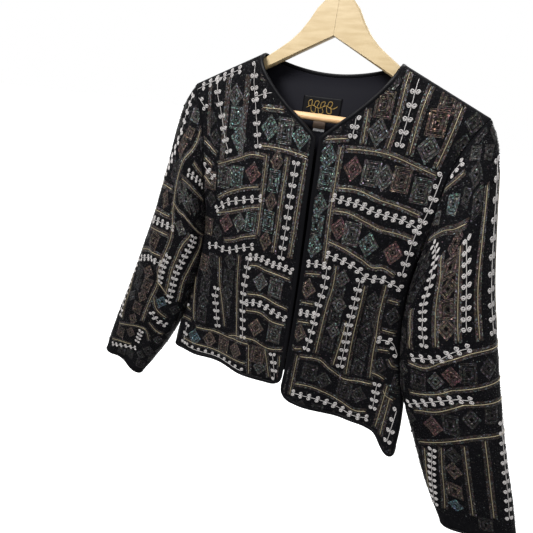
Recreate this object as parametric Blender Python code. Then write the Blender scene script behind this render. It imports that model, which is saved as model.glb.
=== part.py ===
# Collarless open-front evening jacket hanging on a wooden hanger.
# Metres, +Z up, X to the right as seen from the front, front of the jacket towards -Y.
# The origin is the inside top of the hanger's hook, where it hangs on a rail.

import math

import bmesh
import bpy
import numpy as np

# Driving dimensions of the jacket, seen from the front
NECK_LEVEL = -0.140          # height of the shoulder-neck points below the rail
NECK_HALF = 0.098            # shoulder-neck point to the middle
TIP_HALF = 0.205             # shoulder tip to the middle
SHOULDER_DROP = 0.047        # neck point down to shoulder tip
NECK_FRONT_DROP = 0.0985     # neck point down to the top of the front opening
NECK_BACK_DROP = 0.019       # neck point down to the middle of the back neck
ARMPIT_DROP = 0.225          # neck point down to the foot of the armhole
SHOULDER_ROUND = 0.035       # height over which the cloth turns over the hanger
SHOULDER_SQUARE = 2.6        # how squarely it turns: 2 is round

CLOTH = 0.0018               # beaded silk wall
LINING = 0.0010              # black lining wall
SEAM = 0.0003                # gap between pieces at a seam
BINDING_WIDE = 0.0045        # bound edge, across
BINDING_THICK = 0.0032       # bound edge, through
HEM_BINDING_WIDE = 0.0030
# Section of a bound edge: across from the panel's edge, and through its thickness, as shares of its sizes
BINDING_PROFILE = [(0.0, 0.42), (0.55, 0.50), (1.0, 0.20), (1.0, -0.20), (0.55, -0.50), (0.0, -0.42)]
CORNER_ROUND = 0.020         # rounded front corners at the hem
CORNER_RISE = 0.018          # how much higher the corner starts than the hem

# Half width of the body section, and its depth to the front and to the back
BODY = {
    "drop":  [0.000, 0.060, 0.100, 0.140, 0.180, 0.210, 0.225, 0.250, 0.280, 0.340, 0.400, 0.440, 0.480, 0.530],
    "half":  [0.250, 0.240, 0.225, 0.208, 0.190, 0.177, 0.172, 0.170, 0.170, 0.176, 0.190, 0.202, 0.209, 0.212],
    "front": [0.021, 0.022, 0.023, 0.024, 0.025, 0.025, 0.025, 0.026, 0.026, 0.027, 0.028, 0.029, 0.030, 0.031],
    "back":  [0.021, 0.021, 0.021, 0.022, 0.022, 0.022, 0.022, 0.022, 0.023, 0.024, 0.025, 0.026, 0.027, 0.028],
}
# Armhole seam, from the shoulder tip to its foot
ARMHOLE = {
    "drop": [0.047, 0.080, 0.112, 0.140, 0.180, 0.210, 0.225],
    "half": [0.205, 0.189, 0.180, 0.177, 0.1755, 0.1735, 0.172],
}
# Front neckline, from the top of the opening to the neck point
NECKLINE = {
    "drop": [0.0985, 0.089, 0.080, 0.0645, 0.0475, 0.030, 0.0115, 0.000],
    "half": [0.006, 0.017, 0.028, 0.048, 0.067, 0.083, 0.0945, 0.098],
}
# Middle of the front opening, which swings a little to one side, and how far it stands open
OPENING = {
    "drop":   [0.0985, 0.200, 0.300, 0.400, 0.510],
    "middle": [0.008, 0.012, 0.016, 0.018, 0.018],
    "gap":    [0.0040, 0.0040, 0.0032, 0.0024, 0.0020],
}
# Hem heights from side to side
HEM_LEFT = {"x": [-0.214, -0.10, 0.02], "drop": [0.499, 0.493, 0.490]}
HEM_RIGHT = {"x": [0.00, 0.10, 0.160, 0.178, 0.192, 0.204, 0.214], "drop": [0.503, 0.502, 0.500, 0.502, 0.513, 0.518, 0.517]}
HEM_BACK = {"x": [-0.214, -0.10, 0.0, 0.10, 0.165, 0.195, 0.214],
            "drop": [0.499, 0.497, 0.497, 0.499, 0.501, 0.512, 0.517]}

# Soft vertical folds: a ridge line from top to bottom, half its width, and how far it stands out
FOLD_COLUMNS = ("x_top", "drop_top", "x_bottom", "drop_bottom", "half_width", "height")
FOLDS_LEFT = [
    (-0.060, 0.300, -0.058, 0.540, 0.024, 0.0055),
    (-0.120, 0.230, -0.112, 0.540, 0.026, -0.0050),
    (-0.158, 0.300, -0.160, 0.540, 0.022, 0.0050),
    (-0.010, 0.330, -0.004, 0.540, 0.020, -0.0040),
    (-0.125, 0.150, -0.080, 0.300, 0.030, 0.0025),
]
FOLDS_RIGHT = [
    (0.052, 0.300, 0.056, 0.540, 0.024, 0.0065),
    (0.122, 0.200, 0.112, 0.540, 0.026, -0.0080),
    (0.085, 0.150, 0.090, 0.300, 0.030, 0.0030),
    (0.158, 0.400, 0.158, 0.540, 0.018, -0.0045),
    (0.028, 0.440, 0.024, 0.540, 0.016, 0.0050),
]
FOLDS_BACK = [
    (-0.120, 0.230, -0.135, 0.540, 0.026, 0.0060),
    (-0.060, 0.250, -0.066, 0.540, 0.026, -0.0050),
    (0.000, 0.200, 0.005, 0.540, 0.030, 0.0050),
    (0.066, 0.260, 0.072, 0.540, 0.024, -0.0055),
    (0.128, 0.220, 0.140, 0.540, 0.026, 0.0060),
]
# The right side swings forward in a rounded fold near the hem: both layers together
SIDE_SWING = {"x": 0.208, "half_width": 0.023, "drop_top": 0.400, "drop_bottom": 0.520, "forward": 0.024}
LEFT_SWING = {"x": -0.212, "half_width": 0.030, "drop_top": 0.420, "drop_bottom": 0.520, "forward": 0.006}

# Sleeve sections after the armhole: outer and inner edge, half depth, and how far the middle stands forward
SLEEVE_COLUMNS = ("outer_x", "outer_drop", "inner_x", "inner_drop", "depth", "forward")
SLEEVE_RIGHT = [
    (0.2260, 0.088, 0.1735, 0.242, 0.033, 0.002),
    (0.2430, 0.155, 0.1722, 0.263, 0.038, 0.004),
    (0.2670, 0.244, 0.1745, 0.300, 0.038, 0.006),
    (0.2930, 0.320, 0.1830, 0.352, 0.036, 0.008),
    (0.3190, 0.392, 0.2000, 0.420, 0.032, 0.010),
    (0.3450, 0.460, 0.2290, 0.488, 0.028, 0.011),
    (0.3740, 0.530, 0.2640, 0.557, 0.024, 0.010),
    (0.3970, 0.588, 0.3000, 0.617, 0.019, 0.008),
]
SLEEVE_LEFT = [
    (0.2250, 0.088, 0.1735, 0.242, 0.033, 0.002),
    (0.2400, 0.155, 0.1722, 0.263, 0.038, 0.004),
    (0.2630, 0.244, 0.1745, 0.300, 0.038, 0.006),
    (0.2890, 0.320, 0.1825, 0.352, 0.036, 0.009),
    (0.3160, 0.396, 0.1990, 0.422, 0.032, 0.011),
    (0.3440, 0.466, 0.2290, 0.490, 0.028, 0.012),
    (0.3720, 0.536, 0.2620, 0.558, 0.023, 0.011),
    (0.3920, 0.586, 0.2960, 0.611, 0.017, 0.009),
]
SLEEVE_SQUARE = 0.85         # 1 is an oval section, less is squarer
# The cuff's lower edge arches up between its two ends, and the inner end hangs lowest
CUFF_ARCH = {"left": 0.012, "right": 0.003}
# Sleeve creases: place along the sleeve (0 armhole, 1 cuff), angle round it, half sizes, height
CREASE_COLUMNS = ("along", "angle", "half_along", "half_angle", "slant", "height")
CREASES_RIGHT = [
    (0.34, 1.75, 0.070, 0.50, 0.10, -0.0045),
    (0.46, 1.35, 0.060, 0.55, -0.12, 0.0040),
    (0.58, 1.90, 0.060, 0.55, 0.12, -0.0045),
    (0.70, 1.30, 0.070, 0.50, -0.10, 0.0035),
    (0.45, 4.60, 0.060, 0.60, 0.12, -0.0045),
    (0.60, 4.90, 0.070, 0.55, -0.12, 0.0040),
    (0.90, 1.95, 0.120, 0.40, 0.00, -0.0050),
]
CREASES_LEFT = [
    (0.30, 1.90, 0.070, 0.50, 0.12, -0.0050),
    (0.42, 1.25, 0.060, 0.50, 0.12, 0.0045),
    (0.54, 1.70, 0.060, 0.60, 0.14, -0.0050),
    (0.66, 1.20, 0.060, 0.50, -0.12, 0.0040),
    (0.43, 4.70, 0.060, 0.60, -0.12, -0.0045),
    (0.58, 4.50, 0.070, 0.55, 0.12, 0.0040),
    (0.93, 1.75, 0.120, 0.42, 0.00, -0.0065),
]

FOLD_FADE = 0.7              # share of a fold's length over which it grows to its full height
CREASE_START = 0.12          # sleeve creases begin this far along the sleeve
ARCH_PLACE = 0.05            # middle of the cuff's arch and its half width, from -1 inner to 1 outer end
ARCH_HALF = 0.55

# Grid sizes, and rounds for settling a row whose height depends on where its columns are
SETTLE_ROUNDS = 24
SHOULDER_ROWS = [0.0, 0.12, 0.25, 0.36, 0.47, (ARMPIT_DROP - NECK_FRONT_DROP) / ARMPIT_DROP,
                 0.65, 0.74, 0.82, 0.89, 0.94, 0.97, 0.988, 0.997, 1.0]
LOWER_ROWS = 12
FRONT_COLUMNS = [0.0, 0.012, 0.04, 0.08, 0.14, 0.22, 0.31, 0.40, 0.49, 0.58, 0.67, 0.76, 0.84, 0.90, 0.95, 1.0]
BACK_COLUMNS = [0.0, 0.10, 0.20, 0.29, 0.36, 0.415, 0.452, 0.474, 0.49, 0.58, 0.68, 0.78, 0.89, 1.0]
NECK_COLUMNS = 8             # of the back's columns on each side that end on the neckline
SLEEVE_STEPS = 18

# Hanger
ARM_THICK = 0.0105
ARM_REST = 0.0040            # arm's top below the outside of the shoulder
ARM_TIP = 0.207
ARM_TIP_LOW = 0.085          # how far below the neck level the arm's end reaches
APEX_LOW = 0.0262            # underside of the middle above the neck level
HUMP_TOP = 0.0740
BAR_DROP = 0.0720
BAR_RADIUS = 0.0048
HOOK_WIRE = 0.0019
HOOK_INNER = 0.0180

TINY = 1e-6

COLOURS = {
    "cloth": (0.030, 0.026, 0.028, 0.48, 0.0),
    "binding": (0.012, 0.012, 0.014, 0.60, 0.0),
    "lining": (0.018, 0.018, 0.022, 0.45, 0.0),
    "label": (0.030, 0.030, 0.034, 0.55, 0.0),
    "size_tag": (0.80, 0.80, 0.82, 0.60, 0.0),
    "wood": (0.78, 0.60, 0.36, 0.45, 0.0),
    "steel": (0.72, 0.72, 0.74, 0.22, 1.0),
}


def hermite(x, y, slope, at):
    """A cubic curve through rows of values with given slopes, read at new places."""
    k = np.clip(np.searchsorted(x, at, side="right") - 1, 0, len(x) - 2)
    step = x[k + 1] - x[k]
    t = (at - x[k]) / step
    while t.ndim < y[k].ndim:
        t = t[..., None]
        step = step[..., None]
    return ((2 * t**3 - 3 * t**2 + 1) * y[k] + (t**3 - 2 * t**2 + t) * step * slope[k]
            + (3 * t**2 - 2 * t**3) * y[k + 1] + (t**3 - t**2) * step * slope[k + 1])


def smooth_table(table, key, column, at):
    """A smooth curve through a table's rows, flat beyond its two ends."""
    x = np.array(table[key], float)
    y = np.array(table[column], float)
    if x[0] > x[-1]:
        x, y = x[::-1], y[::-1]
    return hermite(x, y, np.gradient(y, x), np.clip(np.asarray(at, float), x[0], x[-1]))


def ease(t):
    t = np.clip(t, 0.0, 1.0)
    return t * t * (3 - 2 * t)


def shoulder_line(x):
    """Height of the shoulder ridge below the neck level, as a positive drop."""
    return np.maximum(np.abs(x) - NECK_HALF, 0.0) * SHOULDER_DROP / (TIP_HALF - NECK_HALF)


def back_neck(x):
    return NECK_BACK_DROP * np.clip(1 - (x / NECK_HALF) ** 2, 0, 1)


def fold_height(folds, x, drop):
    total = np.zeros_like(x)
    for row in folds:
        f = dict(zip(FOLD_COLUMNS, row))
        along = (drop - f["drop_top"]) / (f["drop_bottom"] - f["drop_top"])
        ridge = f["x_top"] + (f["x_bottom"] - f["x_top"]) * along
        total += f["height"] * np.exp(-((x - ridge) / f["half_width"]) ** 2) * ease(along / FOLD_FADE)
    return total


def swing(x, drop):
    """How far both layers of the body move forward together at the sides."""
    total = np.zeros_like(x)
    for s in (SIDE_SWING, LEFT_SWING):
        down = ease((drop - s["drop_top"]) / (s["drop_bottom"] - s["drop_top"]))
        total += s["forward"] * np.exp(-((x - s["x"]) / s["half_width"]) ** 2) * down
    return total


def body_point(x, drop, layer, folds):
    """The outer face of the body. layer is "front" or "back"; drop is measured below the neck level."""
    half = smooth_table(BODY, "drop", "half", drop)
    depth = smooth_table(BODY, "drop", layer, drop)
    across = np.clip(1 - (x / half) ** 2, 0, 1) ** 0.25
    below = np.clip((drop - shoulder_line(x)) / SHOULDER_ROUND, 0, 1)
    over = np.clip(1 - (1 - below) ** SHOULDER_SQUARE, 0, 1) ** (1 / SHOULDER_SQUARE)
    reach = depth * across * over + fold_height(folds, x, drop) * across * over
    side = -1 if layer == "front" else 1
    y = side * reach - swing(x, drop)
    return np.stack([x, y, NECK_LEVEL - drop], axis=-1)


def spread(inner, outer, share, half):
    """Columns between two x values of one row, closer together where the section turns round the side."""
    a0 = np.arcsin(np.clip(inner / half, -1, 1))
    a1 = np.arcsin(np.clip(outer / half, -1, 1))
    return half * np.sin(a0 + (a1 - a0) * share)


def armhole_x(drop):
    return smooth_table(ARMHOLE, "drop", "half", drop)


def panel_grid(inner_x, hem, columns, side, neck_columns=0):
    """x and drop of a panel's grid, one row after another from the hem up to the shoulder.

    Columns run from the middle (or the opening) to the side seam and the armhole."""
    columns = np.array(columns)
    grid_x, grid_drop = [], []
    for r in np.arange(LOWER_ROWS) / LOWER_ROWS:
        drop = np.full(len(columns), ARMPIT_DROP + (hem["drop"][-1] - ARMPIT_DROP) * (1 - r))
        for _ in range(SETTLE_ROUNDS):
            half = smooth_table(BODY, "drop", "half", drop)
            x = spread(inner_x(drop), side * half, columns, half)
            drop = ARMPIT_DROP + (hem_drop(hem, x, inner_x(drop)) - ARMPIT_DROP) * (1 - r)
        grid_x.append(x)
        grid_drop.append(drop)
    for r in SHOULDER_ROWS:
        drop = np.full(len(columns), ARMPIT_DROP * (1 - r))
        for _ in range(SETTLE_ROUNDS):
            top = shoulder_line(x)
            if neck_columns:
                top = np.where(np.abs(x) < NECK_HALF, back_neck(x), top)
            drop = ARMPIT_DROP - r * (ARMPIT_DROP - top)
            half = smooth_table(BODY, "drop", "half", drop[-1])
            edge = side * smooth_table(ARMHOLE, "drop", "half", drop[-1])
            start = inner_x(drop[0])
            even = start + (edge - start) * columns
            if neck_columns:
                even = neck_spaced(columns, edge, side, neck_columns)
            turned = spread(start, side * half, columns, half)
            turned = start + (turned - start) * (edge - start) / (side * half - start)
            x = turned + (even - turned) * ease(r * 2)
        grid_x.append(x)
        grid_drop.append(drop)
    grid_drop[-1][-1] = SHOULDER_DROP
    return np.array(grid_x), np.array(grid_drop)


def neck_spaced(columns, edge, side, neck_columns):
    """Columns of the back, with one of them exactly on the neck point."""
    share = columns[neck_columns]
    inside = side * columns / share * NECK_HALF
    outside = side * NECK_HALF + (columns - share) / (1 - share) * (edge - side * NECK_HALF)
    return np.where(columns <= share, inside, outside)


def hem_drop(hem, x, opening_x):
    """Height of the hem; a front's corner beside the opening is round."""
    bottom = smooth_table(hem, "x", "drop", x)
    if hem is HEM_BACK:
        return bottom
    away = np.clip(1 - np.abs(x - opening_x) / CORNER_ROUND, 0, 1)
    return bottom - CORNER_RISE * (1 - np.sqrt(1 - away**2))


def opening_edge(side):
    """x of one front's edge: down the opening, or round the neckline above it."""
    def along_opening(drop):
        middle = smooth_table(OPENING, "drop", "middle", drop)
        gap = smooth_table(OPENING, "drop", "gap", drop)
        return middle + side * (gap / 2 + SEAM + BINDING_WIDE)

    # The neckline's foot moves over to meet the opening, and the neck point stays.
    shift = along_opening(NECK_FRONT_DROP) - side * NECKLINE["half"][0]

    def edge(drop):
        drop = np.asarray(drop, float)
        round_neck = side * smooth_table(NECKLINE, "drop", "half", drop)
        round_neck += shift * np.clip(drop / NECK_FRONT_DROP, 0, 1) ** 2
        return np.where(drop >= NECK_FRONT_DROP - TINY, along_opening(drop), round_neck)
    return edge


def grid_normals(points, wrap=False):
    """Unit normals of a grid from its neighbours' differences."""
    along = np.gradient(points, axis=0)
    if wrap:
        across = (np.roll(points, -1, axis=1) - np.roll(points, 1, axis=1)) / 2
    else:
        across = np.gradient(points, axis=1)
    normal = np.cross(along, across)
    return normal / np.maximum(np.linalg.norm(normal, axis=-1, keepdims=True), 1e-12)


def face_out(points, normals):
    """Turns a body panel's normals so that they point away from the inside of the garment."""
    row, column = normals.shape[0] // 2, normals.shape[1] // 2
    return normals if normals[row, column, 1] * points[row, column, 1] > 0 else -normals


def wall_mesh(outer, inner, wrap=False):
    """A closed wall between two grids of points."""
    rows, cols = outer.shape[:2]
    points = np.concatenate([outer.reshape(-1, 3), inner.reshape(-1, 3)])
    n = rows * cols

    def at(i, j, layer):
        return layer * n + i * cols + (j % cols)

    faces = []
    last = cols if wrap else cols - 1
    for i in range(rows - 1):
        for j in range(last):
            faces.append((at(i, j, 0), at(i, j + 1, 0), at(i + 1, j + 1, 0), at(i + 1, j, 0)))
            faces.append((at(i, j, 1), at(i + 1, j, 1), at(i + 1, j + 1, 1), at(i, j + 1, 1)))
    for j in range(last):
        faces.append((at(0, j + 1, 0), at(0, j, 0), at(0, j, 1), at(0, j + 1, 1)))
        faces.append((at(rows - 1, j, 0), at(rows - 1, j + 1, 0), at(rows - 1, j + 1, 1), at(rows - 1, j, 1)))
    if not wrap:
        for i in range(rows - 1):
            faces.append((at(i, 0, 0), at(i + 1, 0, 0), at(i + 1, 0, 1), at(i, 0, 1)))
            faces.append((at(i + 1, cols - 1, 0), at(i, cols - 1, 0), at(i, cols - 1, 1), at(i + 1, cols - 1, 1)))
    return points, faces


def material(slot):
    found = bpy.data.materials.get(slot)
    if found:
        return found
    red, green, blue, roughness, metallic = COLOURS[slot]
    made = bpy.data.materials.new(slot)
    made.use_nodes = True
    shader = made.node_tree.nodes["Principled BSDF"]
    shader.inputs["Base Color"].default_value = (red, green, blue, 1.0)
    shader.inputs["Roughness"].default_value = roughness
    shader.inputs["Metallic"].default_value = metallic
    made.diffuse_color = (red, green, blue, 1.0)
    return made


def add_object(name, points, faces, slot):
    mesh = bpy.data.meshes.new(name)
    mesh.from_pydata([tuple(p) for p in points], [], [tuple(f) for f in faces])
    bm = bmesh.new()
    bm.from_mesh(mesh)
    bmesh.ops.remove_doubles(bm, verts=bm.verts, dist=1e-7)
    bmesh.ops.recalc_face_normals(bm, faces=bm.faces)
    bm.to_mesh(mesh)
    bm.free()
    mesh.shade_smooth()
    mesh.set_sharp_from_angle(angle=math.radians(40))
    mesh.materials.append(material(slot))
    obj = bpy.data.objects.new(name, mesh)
    bpy.context.scene.collection.objects.link(obj)
    return obj


def seam_y(points):
    """y of the surface where front and back meet: it moves with the swing of the sides."""
    return -swing(points[..., 0], NECK_LEVEL - points[..., 2])


def body_panel(layer, grid_x, grid_drop, folds):
    """Outer points, normals and inner points of one layer of the body.

    Edges that lie where front and back meet are kept half a seam gap to their own side."""
    outer = body_point(grid_x, grid_drop, layer, folds)
    normals = face_out(outer, grid_normals(outer))
    on_seam = np.abs(outer[..., 1] - seam_y(outer)) < TINY
    normals[on_seam, 1] = 0.0
    normals /= np.linalg.norm(normals, axis=-1, keepdims=True)
    inner = outer - normals * CLOTH
    side = -1 if layer == "front" else 1
    for grid in (outer, inner):
        grid[on_seam, 1] = seam_y(grid)[on_seam] + side * SEAM / 2
    return outer, normals, inner


def sweep(path, normals, outward, wide, closed):
    """A six-sided strip beside the edge of a wall, centred on the wall's thickness."""
    centre = path - normals * CLOTH / 2
    rings = np.stack([centre + outward * (SEAM + across * wide) + normals * through * BINDING_THICK
                      for across, through in BINDING_PROFILE], axis=1)
    n, k = rings.shape[:2]
    faces = []
    for i in range(n if closed else n - 1):
        for j in range(k):
            a, b = i * k + j, i * k + (j + 1) % k
            c, d = ((i + 1) % n) * k + (j + 1) % k, ((i + 1) % n) * k + j
            faces.append((a, b, c, d))
    if not closed:
        faces.append(tuple(range(k))[::-1])
        faces.append(tuple((n - 1) * k + j for j in range(k)))
    return rings, faces


def edge_directions(path, normals, inside, closed=False):
    """Unit directions in the cloth's surface that point out over its edge."""
    if closed:
        along = np.roll(path, -1, axis=0) - np.roll(path, 1, axis=0)
    else:
        along = np.gradient(path, axis=0)
    along /= np.linalg.norm(along, axis=-1, keepdims=True)
    out = np.cross(along, normals)
    out /= np.linalg.norm(out, axis=-1, keepdims=True)
    away = path - inside
    flip = np.sign(np.sum(out * away, axis=-1, keepdims=True))
    return out * np.where(flip == 0, 1, flip)


def bound_edge(name, path, normals, inside, wide, seam_side=0):
    """The binding of one edge. Its ends are cut on the seam; with no seam side it is a closed ring."""
    closed = seam_side == 0
    out = edge_directions(path, normals, inside, closed)
    rings, faces = sweep(path, normals, out, wide, closed)
    if not closed:
        for index in (0, -1):
            rings[index, :, 1] = seam_y(rings[index]) + seam_side * SEAM / 2
    add_object(name, rings.reshape(-1, 3), faces, "binding")


def make_front(side):
    name = "left" if side < 0 else "right"
    hem = HEM_LEFT if side < 0 else HEM_RIGHT
    folds = FOLDS_LEFT if side < 0 else FOLDS_RIGHT
    grid_x, grid_drop = panel_grid(opening_edge(side), hem, FRONT_COLUMNS, side)
    outer, normals, inner = body_panel("front", grid_x, grid_drop, folds)
    points, faces = wall_mesh(outer, inner)
    add_object("front_" + name, points, faces, "cloth")
    # One binding runs along the hem, round the corner, up the opening and round the neck.
    edge = np.concatenate([outer[0, ::-1], outer[1:, 0]])
    edge_normals = np.concatenate([normals[0, ::-1], normals[1:, 0]])
    inside = np.concatenate([outer[2, ::-1], outer[1:, 2]])
    corner = len(FRONT_COLUMNS) - 1
    inside[corner - 1:corner + 2] = outer[4, 4]
    bound_edge("front_binding_" + name, edge, edge_normals, inside, BINDING_WIDE, seam_side=-1)
    return outer, normals


def make_back():
    halves = [panel_grid(np.zeros_like, HEM_BACK, BACK_COLUMNS, side, NECK_COLUMNS) for side in (-1, 1)]
    grid_x = np.concatenate([halves[0][0][:, ::-1], halves[1][0][:, 1:]], axis=1)
    grid_drop = np.concatenate([halves[0][1][:, ::-1], halves[1][1][:, 1:]], axis=1)
    outer, normals, inner = body_panel("back", grid_x, grid_drop, FOLDS_BACK)
    points, faces = wall_mesh(outer, inner)
    add_object("back", points, faces, "cloth")
    middle = len(BACK_COLUMNS) - 1
    neck = slice(middle - NECK_COLUMNS, middle + NECK_COLUMNS + 1)
    bound_edge("neck_binding_back", outer[-1, neck], normals[-1, neck], outer[-3, neck],
               BINDING_WIDE, seam_side=1)
    bound_edge("hem_binding_back", outer[0], normals[0], outer[2], HEM_BINDING_WIDE, seam_side=1)
    return outer, normals


def make_lining(outer, normals):
    """Black lining just inside the back, which shows in the neck."""
    face = outer - normals * (CLOTH + SEAM)
    back = face - normals * LINING
    rows = slice(1, None)
    cols = slice(1, -1)
    points, faces = wall_mesh(face[rows, cols], back[rows, cols])
    add_object("back_lining", points, faces, "lining")


def patch_on_lining(name, x0, x1, drop0, drop1, lift, thick, slot, columns=5, rows=4):
    """A small woven piece sewn on the inside of the back, made from the back's own points."""
    x, drop = np.meshgrid(np.linspace(x0, x1, columns), np.linspace(drop1, drop0, rows))
    outer = body_point(x, drop, "back", FOLDS_BACK)
    normals = face_out(outer, grid_normals(outer))
    face = outer - normals * (CLOTH + SEAM + LINING + lift)
    points, faces = wall_mesh(face, face - normals * thick)
    add_object(name, points, faces, slot)


def armhole_ring(side, front, front_normals, back, back_normals):
    """The sleeve's first ring, a seam gap outside the armhole, from the shoulder tip down the front."""
    column = 0 if side < 0 else -1
    ring = np.concatenate([front[LOWER_ROWS:, -1][::-1], back[LOWER_ROWS:, column][1:-1]])
    normals = np.concatenate([front_normals[LOWER_ROWS:, -1][::-1], back_normals[LOWER_ROWS:, column][1:-1]])
    foot = len(SHOULDER_ROWS) - 1
    ring[[0, foot], 1] = 0.0
    # Under the arm the sleeve leaves the body sideways, so its outside faces down there.
    for index, share in ((foot - 2, 0.25), (foot - 1, 0.6), (foot, 1.0), (foot + 1, 0.6), (foot + 2, 0.25)):
        normals[index] = (1 - share) * normals[index] - share * np.array([0.0, 0.0, 1.0])
    normals /= np.linalg.norm(normals, axis=-1, keepdims=True)
    chest = np.array([side * NECK_HALF, 0.0, NECK_LEVEL - ARMPIT_DROP / 2])
    out = edge_directions(ring, normals, chest, closed=True)
    out *= np.where(out[:, :1] * side < 0, -1, 1)
    return ring + out * SEAM, normals


def tube_normals(tube):
    """Normals of a tube's grid that point away from its middle line."""
    normals = grid_normals(tube, wrap=True)
    away = tube[5] - tube[5].mean(axis=0)
    return normals if np.sum(normals[5] * away) > 0 else -normals


def make_sleeve(side, front, front_normals, back, back_normals):
    """A tube from the armhole's own points through the sleeve's sections to the cuff."""
    name = "left" if side < 0 else "right"
    ring, ring_normals = armhole_ring(side, front, front_normals, back, back_normals)
    angle = 2 * math.pi * np.arange(len(ring)) / len(ring)
    sections = [ring]
    for row in SLEEVE_LEFT if side < 0 else SLEEVE_RIGHT:
        s = dict(zip(SLEEVE_COLUMNS, row))
        outer = np.array([side * s["outer_x"], NECK_LEVEL - s["outer_drop"]])
        inner = np.array([side * s["inner_x"], NECK_LEVEL - s["inner_drop"]])
        plan = (outer + inner) / 2 + np.cos(angle)[:, None] * (outer - inner) / 2
        bulge = np.sign(np.sin(angle)) * np.abs(np.sin(angle)) ** SLEEVE_SQUARE
        y = -s["depth"] * bulge - s["forward"]
        sections.append(np.stack([plan[:, 0], y, plan[:, 1]], axis=-1))
    sections = np.array(sections)
    sections[-1, :, 2] += CUFF_ARCH[name] * np.exp(-((np.cos(angle) - ARCH_PLACE) / ARCH_HALF) ** 2)
    steps = np.linalg.norm(np.diff(sections.mean(axis=1), axis=0), axis=-1)
    length = np.concatenate([[0], np.cumsum(steps)]) / np.sum(steps)
    share = np.array([0.0, 0.03] + list(np.linspace(0.075, 1, SLEEVE_STEPS - 1)))
    tube = hermite(length, sections, np.gradient(sections, length, axis=0), share)
    # The creases press in and stand out along the normals, and fade before the armhole.
    across, down = np.meshgrid(angle, share)
    height = np.zeros_like(down)
    for row in CREASES_LEFT if side < 0 else CREASES_RIGHT:
        c = dict(zip(CREASE_COLUMNS, row))
        turn = (across - c["angle"] + math.pi) % (2 * math.pi) - math.pi
        middle = c["along"] + c["slant"] * turn
        height += c["height"] * np.exp(-((down - middle) / c["half_along"]) ** 2 - (turn / c["half_angle"]) ** 2)
    height *= ease(down / CREASE_START - 1)
    tube += tube_normals(tube) * height[..., None]
    normals = tube_normals(tube)
    normals[0] = ring_normals
    normals[1] += ring_normals
    normals[1] /= np.linalg.norm(normals[1], axis=-1, keepdims=True)
    points, faces = wall_mesh(tube, tube - normals * CLOTH, wrap=True)
    add_object("sleeve_" + name, points, faces, "cloth")
    bound_edge("cuff_binding_" + name, tube[-1], normals[-1], tube[-2], HEM_BINDING_WIDE)


def make_hanger_arm(side):
    """One half of the hanger: hump, sloping arm and a lobe at its end, cut from board."""
    slope = SHOULDER_DROP / (TIP_HALF - NECK_HALF)
    joint = SEAM / 2
    low_slope = (APEX_LOW + 0.0170) / 0.0895
    top = [(joint, HUMP_TOP), (0.010, HUMP_TOP - 0.0015), (0.019, HUMP_TOP - 0.0070), (0.028, HUMP_TOP - 0.0160),
           (0.037, 0.0440), (0.047, 0.0310), (0.060, 0.0190), (0.074, 0.0095), (0.085, 0.0025), (0.094, -0.0035)]
    for x in (0.102, 0.130, 0.165, 0.190):
        top.append((x, -slope * (x - NECK_HALF) - ARM_REST))
    tip = [(0.200, -slope * 0.102 - ARM_REST - 0.001), (ARM_TIP - 0.001, -slope * 0.106 - ARM_REST - 0.0060),
           (ARM_TIP, -0.0660), (ARM_TIP - 0.002, -ARM_TIP_LOW + 0.006), (0.199, -ARM_TIP_LOW),
           (0.190, -ARM_TIP_LOW + 0.002)]
    low = [(0.1853, -0.0790), (0.1853, -0.0650), (0.1760, APEX_LOW - low_slope * 0.170),
           (0.120, APEX_LOW - low_slope * 0.120), (0.060, APEX_LOW - low_slope * 0.060), (joint, APEX_LOW)]
    outline = top + tip + low
    half = ARM_THICK / 2
    bevel = 0.0030
    flat = np.array(outline)
    middle = flat.copy()
    step = np.roll(flat, -1, axis=0) - np.roll(flat, 1, axis=0)
    inward = np.stack([step[:, 1], -step[:, 0]], axis=-1)
    inward /= np.linalg.norm(inward, axis=-1, keepdims=True)
    shrunk = middle + inward * bevel * 0.6
    shrunk[0, 0] = joint
    shrunk[-1, 0] = joint
    layers = [(shrunk, -half), (flat, -half + bevel), (flat, half - bevel), (shrunk, half)]
    n = len(flat)
    points = []
    for outline_2d, y in layers:
        for x, z in outline_2d:
            points.append((side * x, y, NECK_LEVEL + z))
    faces = [tuple(range(n)), tuple(range(3 * n, 4 * n))[::-1]]
    for layer in range(3):
        for i in range(n):
            j = (i + 1) % n
            faces.append((layer * n + i, layer * n + j, (layer + 1) * n + j, (layer + 1) * n + i))
    name = "left" if side < 0 else "right"
    add_object("hanger_arm_" + name, points, faces, "wood")


def make_bar():
    """Round trouser bar between the arm ends."""
    reach = 0.1853 - SEAM - 0.0002
    mesh = bpy.data.meshes.new("hanger_bar")
    bm = bmesh.new()
    bmesh.ops.create_cone(bm, cap_ends=True, segments=16, radius1=BAR_RADIUS, radius2=BAR_RADIUS, depth=2 * reach)
    bm.to_mesh(mesh)
    bm.free()
    mesh.materials.append(material("wood"))
    obj = bpy.data.objects.new("hanger_bar", mesh)
    obj.rotation_euler = (0, math.pi / 2, 0)
    obj.location = (0, 0, NECK_LEVEL - BAR_DROP)
    bpy.context.scene.collection.objects.link(obj)


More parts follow.
